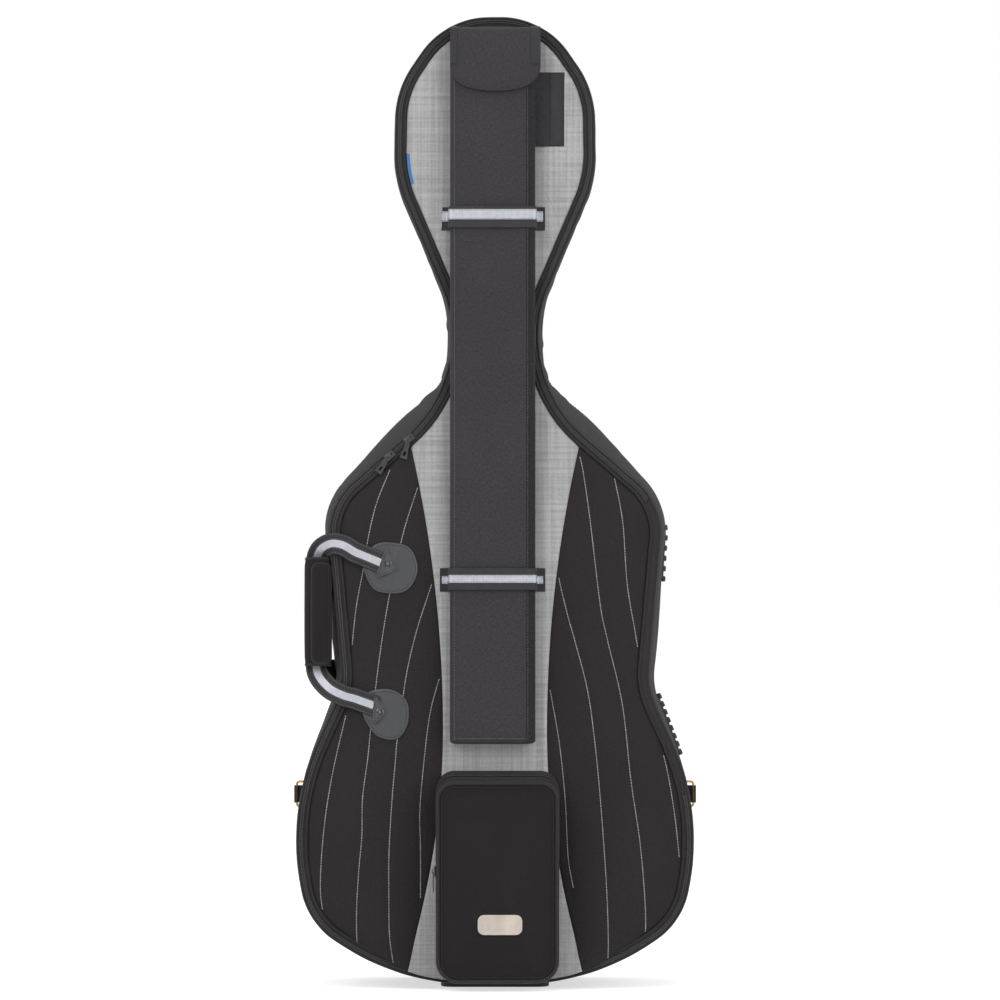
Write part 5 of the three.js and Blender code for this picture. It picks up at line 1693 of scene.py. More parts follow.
@dataclass
class Quiver:
    """Flat sleeve for two bows along the middle of the front, with its binding and its flap."""

    left: float = -0.063
    right: float = 0.056
    low: float = 0.328
    high: float = 1.331
    seat: float = 0.0042
    thickness: float = 0.028
    wall: float = 0.0024
    rounding: float = 0.009
    flap_right: float = 0.064
    flap_top: float = 0.0006
    flap_drop: float = 0.088
    flap_arc: float = 0.036
    flap_cloth: float = 0.0022
    flap_back: float = 0.0028
    binding_top: float = 1.268
    dents: Dents = field(default_factory=lambda: Dents(0.33, 1.33, 0.06, 60, 0.0022, 5))

    def build(self) -> None:
        """Makes sleeve, binding, seams and flap."""
        self.face = self.seat + self.thickness
        self.middle, self.half = (self.left + self.flap_right) / 2, (self.flap_right - self.left) / 2
        self.straight = self.high + self.flap_top - self.flap_drop + self.flap_arc
        self.sleeve()
        self.binding()
        self.flap()

    def ring(self, inset: float) -> Array:
        """Section of the sleeve: across and height.

        Args:
            inset: how far inside the sleeve's outer face.

        Returns:
            The points round it.
        """
        rounding = max(self.rounding - inset, 0.0008)
        outline = rounded_box(
            self.left + inset, self.right - inset, self.seat + inset, self.face - inset, rounding
        )
        return outline.ring(96)[:, :2]

    def sleeve(self) -> None:
        """Soft tube with a sewn foot and an open mouth."""
        foot = [(0.0, 0.0128), (0.0002, 0.008), (0.0008, 0.004), (0.002, 0.0015), (0.004, 0.0004)]
        levels = [(self.low + up, inset) for up, inset in foot]
        levels += [(up, 0.0) for up in np.linspace(self.low + 0.008, self.high - 0.001, 230)]
        levels += [(self.high, 0.0006), (self.high, self.wall - 0.0006)]
        levels += [(up, self.wall) for up in np.linspace(self.high - 0.002, self.low + 0.006, 90)]
        levels += [(self.low + 0.0045, 0.008), (self.low + 0.0044, 0.0128)]
        grid = []
        for up, inset in levels:
            ring = self.ring(inset)
            share = blend(self.seat, self.face, ring[:, 1])
            hollow = self.dents.depth(ring[:, 0], np.array(up)) * share
            pinch = 0.0012 * math.exp(-((up - self.low) / 0.02) ** 2) * share
            grid.append(SHAPE.lid(ring[:, 0], up, ring[:, 1] - hollow - pinch))
        place(
            "bow_quiver_sleeve", np.stack(grid), QUIVER_NYLON, "bow_quiver", "black_nylon",
            ("quiver_lower", "quiver_middle", "quiver_upper"), fill=0.4,
        )

    def binding(self) -> None:
        """Tape sewn round the right corner, with its stitching, and the seam down the left."""
        up = np.linspace(self.low + 0.003, self.binding_top, 180)
        centre = (self.right - self.rounding, self.face - self.rounding)
        turn = np.radians(np.linspace(0, 90, 9))
        parts = []
        for radius in (self.rounding + 0.00045, self.rounding - SEAM):
            arc = np.column_stack([centre[0] + radius * np.cos(turn), centre[1] + radius * np.sin(turn)])
            arc = np.vstack([arc[:1] - (0, 0.004), arc, arc[-1:] - (0.003, 0)])
            parts.append(arc if not parts else arc[::-1])
        profile = np.vstack(parts)
        hollow = self.dents.depth(profile[None, :, 0], up[:, None]) * blend(
            self.seat, self.face, profile[None, :, 1]
        )
        grid = SHAPE.lid(profile[None, :, 0], up[:, None], profile[None, :, 1] - hollow)
        place("quiver_binding", grid, WORN_BINDING, "bow_quiver", "black_nylon")
        lines = []
        for across, top in ((centre[0] - 0.0012, self.binding_top), (self.left + 0.0062, self.high - 0.01)):
            run = np.linspace(self.low + 0.006, top, 200)
            lines.append(SHAPE.lid(across, run, self.face - self.dents.depth(np.array(across), run)))
        spot, up = np.linspace(self.left + 0.007, centre[0], 40), self.low + 0.007
        lines.append(SHAPE.lid(spot, up, self.face - 0.0011 - self.dents.depth(spot, up)))
        stitches("quiver_stitching", lines, "bow_quiver", "black_nylon", finish=WORN_THREAD, width=0.0008)

    def flap_foot(self, across: Array) -> Array:
        """Height of the flap's lower edge, straight at the sides and round in the middle."""
        share = np.sqrt(np.clip(1 - np.abs(across - self.middle) / self.half, 0, 1))
        return self.straight - self.flap_arc * (1 - (1 - share) ** 2)

    def flap_line(self, across: float, lift: float, foot: float, count: int = 70) -> Array:
        """Line over the mouth and down the front.

        Args:
            across: its place across the flap.
            lift: its height above the middle of the flap's cloth.
            foot: how far down the front it goes.
            count: how many points it has.

        Returns:
            Rows of up and height.
        """
        top, out = self.high + self.flap_top + self.flap_cloth / 2, self.face + SEAM + self.flap_cloth / 2
        run = rounded_run([(top, self.seat + self.flap_back), (top, out), (foot, out)], 0.0042, 0.0008)
        along = normalised(np.gradient(run, axis=0))
        normal = np.column_stack([-along[:, 1], along[:, 0]]) * -1
        line = run + lift * normal
        keep = np.linspace(0, len(line) - 1, count)
        line = np.column_stack([np.interp(keep, np.arange(len(line)), column) for column in line.T])
        share = np.clip((top - line[:, 0]) / 0.09, 0, 1)
        crown = 1 - ((across - self.middle) / self.half) ** 2
        line[:, 1] += 0.0014 * np.sin(np.pi * np.minimum(share, 1)) * crown + 0.0008 * share**2
        return line

    def flap_fold(self) -> None:
        """Fold of cloth from the sleeve's back into the flap."""
        top, back = self.high + self.flap_top + self.flap_cloth / 2, self.seat + self.wall / 2
        line = rounded_run([(self.high - 0.008, back), (top, back), (top, back + 0.009)], 0.0022, 0.0005)
        width = self.right - self.left - 1.4 * self.rounding
        path = SHAPE.lid((self.left + self.right) / 2, line[:, 0], line[:, 1])
        strip = sections(path, ACROSS, flat_profile(width, 0.0014))
        turn = (
            SHAPE.lid(0.0, up, height)
            for up, height in ((self.high - 0.0022, back), (top + 0.0006, back + 0.0042))
        )
        place(
            "quiver_flap_fold", strip, QUIVER_NYLON, "bow_quiver", "black_nylon", bent=("quiver_lid", *turn)
        )

    def flap(self) -> None:
        """Flap over the mouth, its two webbing bands and its hem."""
        across = self.middle + np.sin(np.linspace(-np.pi / 2, np.pi / 2, 61)) * self.half
        feet = self.flap_foot(across)
        faces = []
        for lift in (self.flap_cloth / 2, -self.flap_cloth / 2):
            lines = [self.flap_line(a, lift, foot) for a, foot in zip(across, feet)]
            faces.append(np.stack([SHAPE.lid(a, line[:, 0], line[:, 1]) for a, line in zip(across, lines)]))
        place(
            "quiver_flap_cloth", slab(*faces), QUIVER_NYLON, "quiver_lid", "black_nylon", ("quiver_flap",),
            fill=0.5,
        )
        self.flap_fold()
        for name, spot, width in (
            ("left", self.left + 0.0052, 0.0100), ("right", self.flap_right - 0.0072, 0.0140)
        ):
            line = self.flap_line(spot, self.flap_cloth / 2 + 0.0004, self.straight + 0.002)[14:]
            path = SHAPE.lid(spot, line[:, 0], line[:, 1])
            strip = sections(path, ACROSS, flat_profile(width, 0.0013))
            place(f"{name}_flap_webbing", strip, STRAP_WEBBING, "quiver_lid", "webbing")
        inset = across[3:-3] * 0.97
        hem = [
            SHAPE.lid(
                a, self.flap_foot(np.array(a)) + 0.0034, self.flap_line(a, self.flap_cloth / 2, foot)[-3, 1]
            )
            for a, foot in zip(inset, feet[3:-3])
        ]
        stitches("flap_hem_stitching", [np.array(hem)], "quiver_lid", "black_nylon")


@dataclass
class Keepers:
    """Two webbing loops over the quiver with reflective tape, the side band and the ribbon tag."""

    ups: tuple = mm(1066, 558)
    stripes: tuple = (mm(3.4, 14.4), mm(0, 11))
    width: float = 0.030
    cloth: float = 0.0016
    foot: float = 0.013
    clearance: float = 0.0005
    band: tuple = mm(-60, 98, 1168, 1273)
    tag: tuple = mm(1112, 1158)

    def build(self) -> None:
        """Makes loops, tape, band and tag."""
        over = Quiver.seat + Quiver.thickness + self.clearance + self.cloth / 2
        out = self.clearance + self.cloth / 2
        left, right = Quiver.left - out, Quiver.right + out
        seat = SHAPE.cloth + SEAM + self.cloth / 2
        for up, stripe, name in zip(self.ups, self.stripes, ("upper", "lower")):
            corners = [
                (left - self.foot, seat), (left, seat), (left, over), (right, over), (right, seat),
                (right + self.foot, seat),
            ]
            run = rounded_run(corners, 0.0045, 0.0014)
            width = self.width * (1 + 0.10 * hump(run[:, 1], seat, 0.006))
            profile = flat_profile(1.0, self.cloth)[None] * np.stack(
                [np.ones_like(width)] * 2, axis=1
            )[:, None]
            profile[..., 0] *= width[:, None]
            path = SHAPE.lid(run[:, 0], up, run[:, 1])
            place(
                f"{name}_keeper_webbing", sections(path, SHAPE.lid_up, profile), CROSS_WEBBING, "lid",
                "webbing", (f"{name}_keeper",)
            )
            normal = normalised(np.gradient(run, axis=0))[:, ::-1] * (-1, 1)
            tape = run + normal * (self.cloth / 2 + 0.0002)
            inner = slice(2, -2)
            path = SHAPE.lid(tape[inner, 0], up + stripe[0], tape[inner, 1])
            strip = sections(path, SHAPE.lid_up, flat_profile(stripe[1], 0.0006))
            place(f"{name}_reflective_tape", strip, REFLECTIVE_TAPE, "lid", "webbing")
            near = stripe[1] / 2 - 0.0012
            lines = [
                SHAPE.lid(tape[inner, 0], up + stripe[0] + shift, tape[inner, 1] + SEAM)
                for shift in (-near, near)
            ]
            stitches(f"{name}_tape_stitching", lines, "lid", "webbing", width=0.0006)
        self.side_band()
        self.ribbon_tag()

    def side_band(self) -> None:
        """Wide webbing that comes out from under the quiver on the right of the head."""
        left, right, low, high = self.band
        seat = SHAPE.cloth + SEAM
        up = np.linspace(low, high, 40)
        path = SHAPE.lid((left + right) / 2, up, seat + 0.001)
        place(
            "side_band_cloth", sections(path, ACROSS, flat_profile(right - left, 0.002)), QUIVER_NYLON, "lid",
            "webbing",
            ("quiver_side_band",),
        )
        path = SHAPE.lid(right - 0.0125, up[1:-1], seat + 0.0023)
        place(
            "side_band_webbing", sections(path, ACROSS, flat_profile(0.017, 0.0010)), CROSS_WEBBING, "lid",
            "webbing",
        )
        lines = [SHAPE.lid(x, up[1:-1], seat + height) for x, height in (
            (right - 0.0022, 0.0020), (right - 0.0060, 0.0028), (right - 0.0190, 0.0028),
        )]
        lines += [
            SHAPE.lid(np.linspace(0.058, right - 0.023, 30), v, seat + 0.0020)
            for v in (low + 0.004, high - 0.004)
        ]
        stitches("side_band_stitching", lines, "lid", "webbing", width=0.0007)

    def ribbon_tag(self) -> None:
        """Light blue ribbon in the seam on the left of the head, on its dark backing."""
        marks = np.linspace(*(SHAPE.mark_at(up, Side.LEFT) for up in self.tag[::-1]), 30)
        seat = SHAPE.cloth + SEAM
        outer = -SHAPE.panel_inset - SEAM
        for name, near, far, finish, low, top, nodes in (
            ("tag_backing", outer - 0.009, outer, EDGE_BINDING, 0.0, 0.0006, ("side_tag",)),
            ("blue_ribbon_tag", outer - 0.0046, outer - 0.0004, BLUE_TAPE, 0.0005, 0.0010, ()),
        ):
            grid = SHAPE.edge(marks, [near, far, far, near], seat + np.array([low, low, top, top]))
            place(name, grid, finish, "lid", "tag", nodes)


@dataclass
class Pocket:
    """Accessory pocket at the foot of the front: gusset, zipped tray, piping and a bare plate."""

    left: float = -0.081
    right: float = 0.088
    low: tuple = mm(12, -4)
    high: tuple = mm(291, 274)
    depth: float = 0.050
    split: float = 0.0245
    wall: float = 0.0024
    rounds: tuple = mm(30, 24)
    edge: float = 0.004
    fold: float = 0.162
    zip_low: float = 0.118
    piping: float = 0.0026
    puff: float = 0.0035
    plate: tuple = mm(-24, 38, 62, 90)
    plate_round: float = 0.009
    plate_thickness: float = 0.0016

    def build(self) -> None:
        """Makes the pocket's pieces."""
        turn = np.array([self.fold - 0.012, self.fold + 0.012])
        self.bend = ("pocket_flap", *SHAPE.lid(0.0, turn, SHAPE.cloth + self.depth))
        self.gusset()
        self.tray()
        self.zip()
        self.badge()

    def ring(self, depth: float, inset: float) -> Array:
        """Outline of the pocket, with as many points on each side at any depth.

        Args:
            depth: height above the front's cloth.
            inset: how far inside the pocket's wall.

        Returns:
            Rows like those of Outline.at().
        """
        share = depth / self.depth
        low = self.low[0] + (self.low[1] - self.low[0]) * share + inset
        high = self.high[0] + (self.high[1] - self.high[0]) * share - inset
        left, right = self.left + inset, self.right - inset
        low_round, high_round = (max(r - inset, 0.001) for r in self.rounds)
        outline = Outline([
            (right, low, low_round), (right, high, high_round), (left, high, high_round),
            (left, low, low_round),
        ])
        marks = []
        for start, piece in zip(outline.starts, outline.pieces):
            count = 12 if piece[3] else 30
            marks.append(start + piece[4] * np.arange(count) / count)
        return outline.at(np.concatenate(marks))

    def level(self, depth: float, inset: float, lift: float = 0.0) -> Array:
        """Ring of points in the row frame at a depth."""
        ring = self.ring(depth, inset)
        return SHAPE.lid(ring[:, 0], ring[:, 1], SHAPE.cloth + depth + lift)

    def gusset(self) -> None:
        """Wall between the front and the zip."""
        outer, inner = [], []
        for share in np.linspace(0, 1, 9):
            depth = (self.split - SEAM) * share
            ring = self.ring(depth, -0.0012 * math.sin(math.pi * share))[:, :2].T
            seat = SHAPE.skin(*ring) - SHAPE.cloth + 0.0002
            height = SHAPE.cloth + np.maximum(depth, seat * (1 - share) + depth)
            outer.append(SHAPE.lid(*ring, height))
            inner.append(SHAPE.lid(*self.ring(depth, self.wall)[:, :2].T, height))
        grid = np.stack(outer + inner[::-1], axis=1)
        place(
            "pocket_gusset", grid, POCKET_NYLON, "lid", "black_nylon", ("pocket_wall",), loop=True, fill=0.4
        )

    def tray(self) -> None:
        """Zipped front of the pocket, one soft shell, with piping."""
        centre = np.array([(self.left + self.right) / 2, 0.135])
        face = self.ring(self.depth, self.edge)[:, :2]
        outer, inner = [], []
        for share in np.linspace(0.02, 0.98, 22):
            spots = centre + (face - centre) * share
            crown = self.puff * (1 - share**2.2) - 0.0016 * share**14
            for rows, lift in ((outer, 0.0), (inner, -self.wall)):
                rows.append(SHAPE.lid(*spots.T, SHAPE.cloth + self.depth + crown + lift))
        for turn in np.radians(np.linspace(90, 0, 6)):
            inset = self.edge * (1 - math.cos(turn))
            outer.append(self.level(self.depth - self.edge * (1 - math.sin(turn)), inset))
        for share in np.linspace(0.2, 1, 6):
            depth = self.depth - self.edge + (self.split + SEAM - self.depth + self.edge) * share
            outer.append(self.level(depth, -0.0010 * math.sin(math.pi * share)))
        start = self.split + SEAM
        for share in np.linspace(0, 1, 6):
            inner.append(self.level(start + (self.depth - self.wall - start) * share, self.wall))
        rims = inner[22:]
        grid = np.stack(outer + rims + inner[:22][::-1])
        place(
            "pocket_front", grid, POCKET_NYLON, "lid", "black_nylon",
            ("pocket_lower_front", "pocket_upper_front"), bent=self.bend, fill=0.5,
        )
        ring = round_profile(self.piping, 12)
        places = self.ring(self.depth, self.edge * 0.35)
        columns = [
            SHAPE.lid(*pushed(places, reach), SHAPE.cloth + self.depth - 0.0002 + rise)
            for reach, rise in ring
        ]
        place(
            "pocket_piping", np.stack(columns, axis=1), EDGE_BINDING, "lid", "black_nylon", loop=True,
            bent=self.bend
        )
        places = self.ring(self.depth, self.edge + 0.0030)
        line = SHAPE.lid(places[:, 0], places[:, 1], SHAPE.cloth + self.depth + 0.0002)
        stitches("pocket_edge_stitching", [closed(line)], "lid", "black_nylon", bent=self.bend)

    def zip(self) -> None:
        """Zip tapes and teeth round the top of the pocket."""
        ring = self.ring(self.split, 0.0)
        low = self.zip_low
        order = np.flatnonzero(ring[:, 1] > low)
        order = order[np.argsort((order - order[0]) % len(ring))]
        jump = np.argmax(np.diff(order)) if np.max(np.diff(order)) > 1 else None
        order = order if jump is None else np.concatenate([order[jump + 1:], order[:jump + 1]])
        ring = ring[order]

        def tape(rows: Array, near: float, far: float) -> Array:
            """Sections of a tape between two heights from the zip's line."""
            corners = ((0.0003, near), (0.0003, far), (0.0015, far), (0.0015, near))
            return np.stack([
                SHAPE.lid(*pushed(rows, rise), SHAPE.cloth + self.split + at) for rise, at in corners
            ], axis=1)

        place(
            "pocket_zip_tape_back", tape(ring, -0.0027, -0.0003), ZIP_TAPE, "lid", "zip_tape",
            ("pocket_zip_back",),
        )
        upper = ring[ring[:, 1] > self.fold + 0.0005]
        place(
            "pocket_zip_tape_front", tape(upper, 0.0003, 0.0027), ZIP_TAPE, "pocket_flap", "zip_tape",
            ("pocket_zip_front",),
        )
        for name, body, rows, side in (("back", "lid", ring, -1), ("front", "pocket_flap", upper, 1)):
            line = SHAPE.lid(*pushed(rows, 0.0005), SHAPE.cloth + self.split + side * 0.0014)
            out = SHAPE.lid_outwards(rows)
            tooth = grain_piece(0.0013, 0.0021, 0.0019, sides=8)
            teeth = Repeats.mesh(f"pocket_{name}_teeth", [line], [out], tooth, 0.0024, COIL_NYLON)
            place(f"pocket_{name}_teeth", teeth, COIL_NYLON, body, "zip_tape")

    def badge(self) -> None:
        """Bare cream plate, rounded at its edges."""
        left, right, low, high = self.plate
        outline = rounded_box(left, right, low, high, self.plate_round)
        ring = outline.ring(96)[:, :2]

        def seat(across: Array, up: Array) -> Array:
            """Height of the plate's flat underside."""
            return np.full_like(across, SHAPE.cloth + self.depth + SEAM + self.puff * 0.8)

        plate = draped(ring, seat, self.plate_thickness, 0.0006)
        place("bare_name_plate", plate, PLATE_METAL, "lid", "plate", ("name_plate",), crease=25)


@dataclass(frozen=True)
class HandleEnd:
    """Where one end of the carrying handle is sewn to the front; outlines and bends are in millimetres."""

    name: str
    patch: tuple
    cover: tuple
    rivet: tuple
    start: float
    slope: float
    bends: tuple
    entry: tuple


@dataclass
class Handle:
    """Carrying handle on the left: leather patches, taped webbing, padded grip and rear strap."""

    ends: tuple = (
        HandleEnd(
            "upper",
            (
                (-190, 586, 14), (-172, 540, 16), (-122, 537, 22), (-104, 572, 24), (-118, 608, 16),
                (-166, 612, 16),
            ),
            ((-168, 559, 3), (-133, 572, 3), (-153, 603, 3)), mm(-150, 580), 0.574, 0.42,
            ((-212, 606, 9), (-228, 609, 6), (-241, 604, -2), (-248, 595, -9)), (-250.5, 584, -14),
        ),
        HandleEnd(
            "lower",
            (
                (-188, 372, 12), (-168, 338, 14), (-134, 330, 14), (-119, 360, 24), (-121, 392, 18),
                (-146, 407, 16), (-184, 402, 12),
            ),
            ((-172, 352, 3), (-148, 374, 3), (-169, 397, 3)), mm(-161, 372), 0.372, 0.36,
            ((-212, 396, 9), (-230, 405, 5), (-243, 418, -2), (-249.5, 431, -9)), (-250.5, 445, -14),
        ),
    )
    leather: float = 0.0022
    cover: float = 0.0013
    width: float = 0.030
    cloth: float = 0.0024
    axis: float = -0.196
    sewn: float = -0.142
    grip_centre: tuple = mm(-248, -14)
    grip_half: tuple = mm(19, 18)
    grip_round: float = 0.011
    grip_span: tuple = mm(438, 590)
    rear_out: float = -0.242
    rear: tuple = mm(442, 586)

    def build(self) -> None:
        """Makes both ends, the grip and the rear strap."""
        for end in self.ends:
            self.patch(end)
            self.webbing(end)
        self.grip()
        self.rear_strap()

    @staticmethod
    def outline(corners: tuple, inset: float = 0.0) -> Array:
        """Rows of across and up round a patch, at an inset from its edge.

        Args:
            corners: the patch's corners.
            inset: how far inside its edge.

        Returns:
            The points.
        """
        shape = Outline([mm(*corner) for corner in corners])
        places = shape.ring(120)
        ring = places[:, :2]
        for _ in range(40 if len(corners) > 3 else 0):
            ring = (np.roll(ring, 1, 0) + 2 * ring + np.roll(ring, -1, 0)) / 4
        return ring - inset * places[:, 2:4]

    def patch(self, end: HandleEnd) -> None:
        """Leather patch, the leather over the webbing's end, the rivet and the stitching.

        Args:
            end: the end of the handle that it holds.
        """

        def seat(across: Array, up: Array) -> Array:
            """Height of the patch's underside, on the front's fabric."""
            return SHAPE.skin(across, up) + SEAM

        def lifted(across: Array, up: Array) -> Array:
            """Height of the cover's underside, on the patch and over the webbing's end."""
            over = 1 - blend(end.rivet[0] - 0.004, end.rivet[0] + 0.008, across)
            return seat(across, up) + self.leather + SEAM + 0.0026 * over

        lines = []
        for name, corners, under, thickness, inset, nodes in (
            ("patch", end.patch, seat, self.leather, 0.0035, (f"{end.name}_patch",)),
            ("cover", end.cover, lifted, self.cover, 0.0026, ()),
        ):
            mesh = draped(self.outline(corners), under, thickness)
            place(f"{end.name}_leather_{name}", mesh, PATCH_LEATHER, "lid", "leather", nodes)
            ring = self.outline(corners, inset)
            lines.append(SHAPE.lid(*ring.T, under(*ring.T) + thickness))
        stitches(f"{end.name}_patch_stitching", lines, "lid", "leather", width=0.0008)
        turn = 2 * np.pi * np.arange(28) / 28
        base = lifted(*np.array(end.rivet)) + self.cover
        rows = [
            SHAPE.lid(end.rivet[0] + radius * np.cos(turn), end.rivet[1] + radius * np.sin(turn), base + rise)
            for radius, rise in pairs(
                (0.1, 4.4), (1.4, 4.2), (2.8, 3.4), (3.8, 2.0), (4.1, 0.7),
                (4.4, 0.5), (5.4, 0.4), (5.8, 0.0), (5.8, -1), (0.1, -1),
            )
        ]
        place(
            f"{end.name}_rivet", np.stack(rows), RIVET_STEEL, "lid", "webbing", (f"{end.name}_strap_end",),
            crease=60,
        )

    def webbing(self, end: HandleEnd) -> None:
        """Webbing from its sewn end to the grip, with tape and stitching."""
        across = np.linspace(end.rivet[0] - 0.003, self.axis, 6)
        up = end.start - end.slope * (across - self.sewn)
        seat = SHAPE.skin(across, up) + self.leather + 0.0007 + self.cloth / 2
        points = np.vstack(
            [np.column_stack([across, up, seat]), [mm(*bend) for bend in (*end.bends, end.entry)]]
        )
        path = smooth_line(points, 0.002)
        turn = np.array([self.axis + 0.007, self.axis - 0.007])
        bend = ("carry_handle", *SHAPE.lid(turn, end.start - end.slope * (turn - self.sewn), seat[-1]))
        place(
            f"{end.name}_handle_webbing", ribbon(path, flat_profile(self.width, self.cloth)), STRAP_WEBBING,
            "lid", "webbing",
            (f"{end.name}_handle_strap",), bent=bend,
        )
        tape = flat_profile(0.0105, 0.0006) + (0, self.cloth / 2 + 0.0002)
        place(f"{end.name}_handle_tape", ribbon(path[3:], tape), REFLECTIVE_TAPE, "lid", "webbing", bent=bend)
        lines = [
            ribbon(path, np.array([[side, self.cloth / 2]]))[:, 0]
            for side in (-0.0128, -0.0066, 0.0066, 0.0128)
        ]
        stitches(
            f"{end.name}_handle_stitching", lines, "lid", "webbing", finish=WORN_THREAD, width=0.0007,
            bent=bend,
        )

    def grip(self) -> None:
        """Padded grip: a wrap with bound ends whose front edge laps over itself."""
        low, high = self.grip_span
        wide, deep = self.grip_half
        outline = rounded_box(-wide, wide, -deep, deep, self.grip_round)
        ring = outline.ring(72)[:, :2]
        turn = np.arctan2(ring[:, 1], ring[:, 0])

        def level(up: float, share: float) -> Array:
            """Section of the pad at a height, at a share of its full size."""
            pucker = 1 + 0.018 * np.sin(5 * turn + 90 * up) * np.exp(-min(up - low, high - up) / 0.02)
            across, height = (at + side * share * pucker for at, side in zip(self.grip_centre, ring.T))
            return SHAPE.lid(across, up, height)

        rows = []
        for up in np.linspace(low, high, 60):
            near = min(1.0, min(up - low, high - up) / 0.012)
            belly = math.sin(math.pi * (up - low) / (high - low))
            rows.append(level(up, 0.93 + 0.07 * near + 0.02 * belly))
        place(
            "grip_pad", np.stack(rows), POCKET_NYLON, "carry_handle", "black_nylon", ("padded_grip",),
            fill=0.6,
        )
        lines = []
        for name, start, turned in (("low", low - SEAM, 1), ("high", high + SEAM, -1)):
            corners = ((0.915, 0.0), (0.955, 0.0), (0.975, 0.0035), (0.935, 0.0035))
            band = [level(start + turned * rise, share) for share, rise in corners]
            place(
                f"grip_{name}_binding", np.stack(band, axis=1), EDGE_BINDING, "carry_handle", "black_nylon",
                loop=True,
            )
            lines.append(level(start + turned * 0.0022, 0.968))

        def front(across: Array, up: Array) -> Array:
            """Height of the pad's front, which the lap lies on."""
            over = np.clip(
                np.abs(across - self.grip_centre[0]) - (wide - self.grip_round), 0, self.grip_round
            )
            return self.grip_centre[1] + deep - self.grip_round + np.sqrt(self.grip_round**2 - over**2) + SEAM

        middle, cloth = self.grip_centre[0], 0.0016
        lap = rounded_box(middle - 0.0085, middle + 0.0178, low + 0.003, high - 0.009, 0.009).ring(120)
        spots = lap[:, :2]
        place("grip_lap", draped(spots, front, cloth), POCKET_NYLON, "carry_handle", "black_nylon")
        path = SHAPE.lid(*spots.T, front(*spots.T) + cloth - 0.0004)
        out = SHAPE.lid_outwards(lap)
        place(
            "grip_lap_binding", sections(path, out, round_profile(0.0015, 8), loop=True), EDGE_BINDING,
            "carry_handle",
            "black_nylon", loop=True,
        )
        inner = spots - 0.0032 * lap[:, 2:]
        lines.append(SHAPE.lid(*inner.T, front(*inner.T) + cloth))
        out = [normalised(line - line.mean(axis=0)) for line in lines[:2]]
        stitches("grip_stitching", lines, "carry_handle", "black_nylon", [*out, SHAPE.lid_out], width=0.0007)

    def rear_strap(self) -> None:
        """Webbing sewn to the wall behind, which meets the grip from the back."""
        arms = []
        for height in self.rear:
            mark = np.array([SHAPE.mark_at((height - SHAPE.foot) / SHAPE.cosine, Side.LEFT)])
            on_wall = wall_spot(mark, np.array([[0.085, 0.053]]), np.full((1, 2), 0.0083))[0]
            arms.append([*on_wall, (self.rear_out, 0.005, height), (self.rear_out, -0.028, height)])
        run = rounded_run([*arms[0], *arms[1][::-1]], 0.022)
        side = np.cross(normalised(np.gradient(run, axis=0)), (1.0, 0, 0))
        place(
            "rear_handle_webbing", sections(run, side, flat_profile(self.width, self.cloth)), STRAP_WEBBING,
            "case", "webbing",
            ("rear_handle_strap",),
        )


@dataclass
class Bumpers:
    """Ribbed rubber strips on the right wall."""

    spans: tuple = (("upper", *mm(560, 630), 6), ("lower", *mm(308, 385), 8))
    front: float = 0.021
    back: float = 0.055
    seat: float = 0.0074
    thickness: float = 0.004

    def build(self) -> None:
        """Makes each strip and its ribs."""
        section = rounded_box(self.front, self.back, self.seat, self.seat + self.thickness, 0.0018)
        ring = section.ring(40)[:, :2]
        for name, low, high, ribs in self.spans:
            marks = np.linspace(SHAPE.mark_at(low), SHAPE.mark_at(high), 30)
            grid = wall_spot(marks, ring[:, 0], np.broadcast_to(ring[:, 1], (30, len(ring))))
            place(f"{name}_bumper_strip", grid, BLACK_RUBBER, "case", "rubber", (f"{name}_bumper",))
            middle = np.full((30, 1), (self.front + self.back) / 2)
            line = wall_spot(marks, middle, np.full((30, 1), self.seat + self.thickness - 0.0004))[:, 0]
            profile = flat_profile(self.back - self.front - 0.002, 0.0072, points=3)
            rib = np.stack([
                np.column_stack([np.full(len(profile), x), profile * share])
                for x, share in ((-0.0040, 0.7), (-0.0026, 1), (0.0026, 1), (0.0040, 0.7))
            ])
            spacing = run_lengths(line)[-1] / (ribs - 0.35)
            made = Repeats.mesh(
                f"{name}_bumper_ribs", [line], [SHAPE.wall_out(marks)], rib, spacing, BLACK_RUBBER
            )
            place(f"{name}_bumper_ribs", made, BLACK_RUBBER, "case", "rubber")


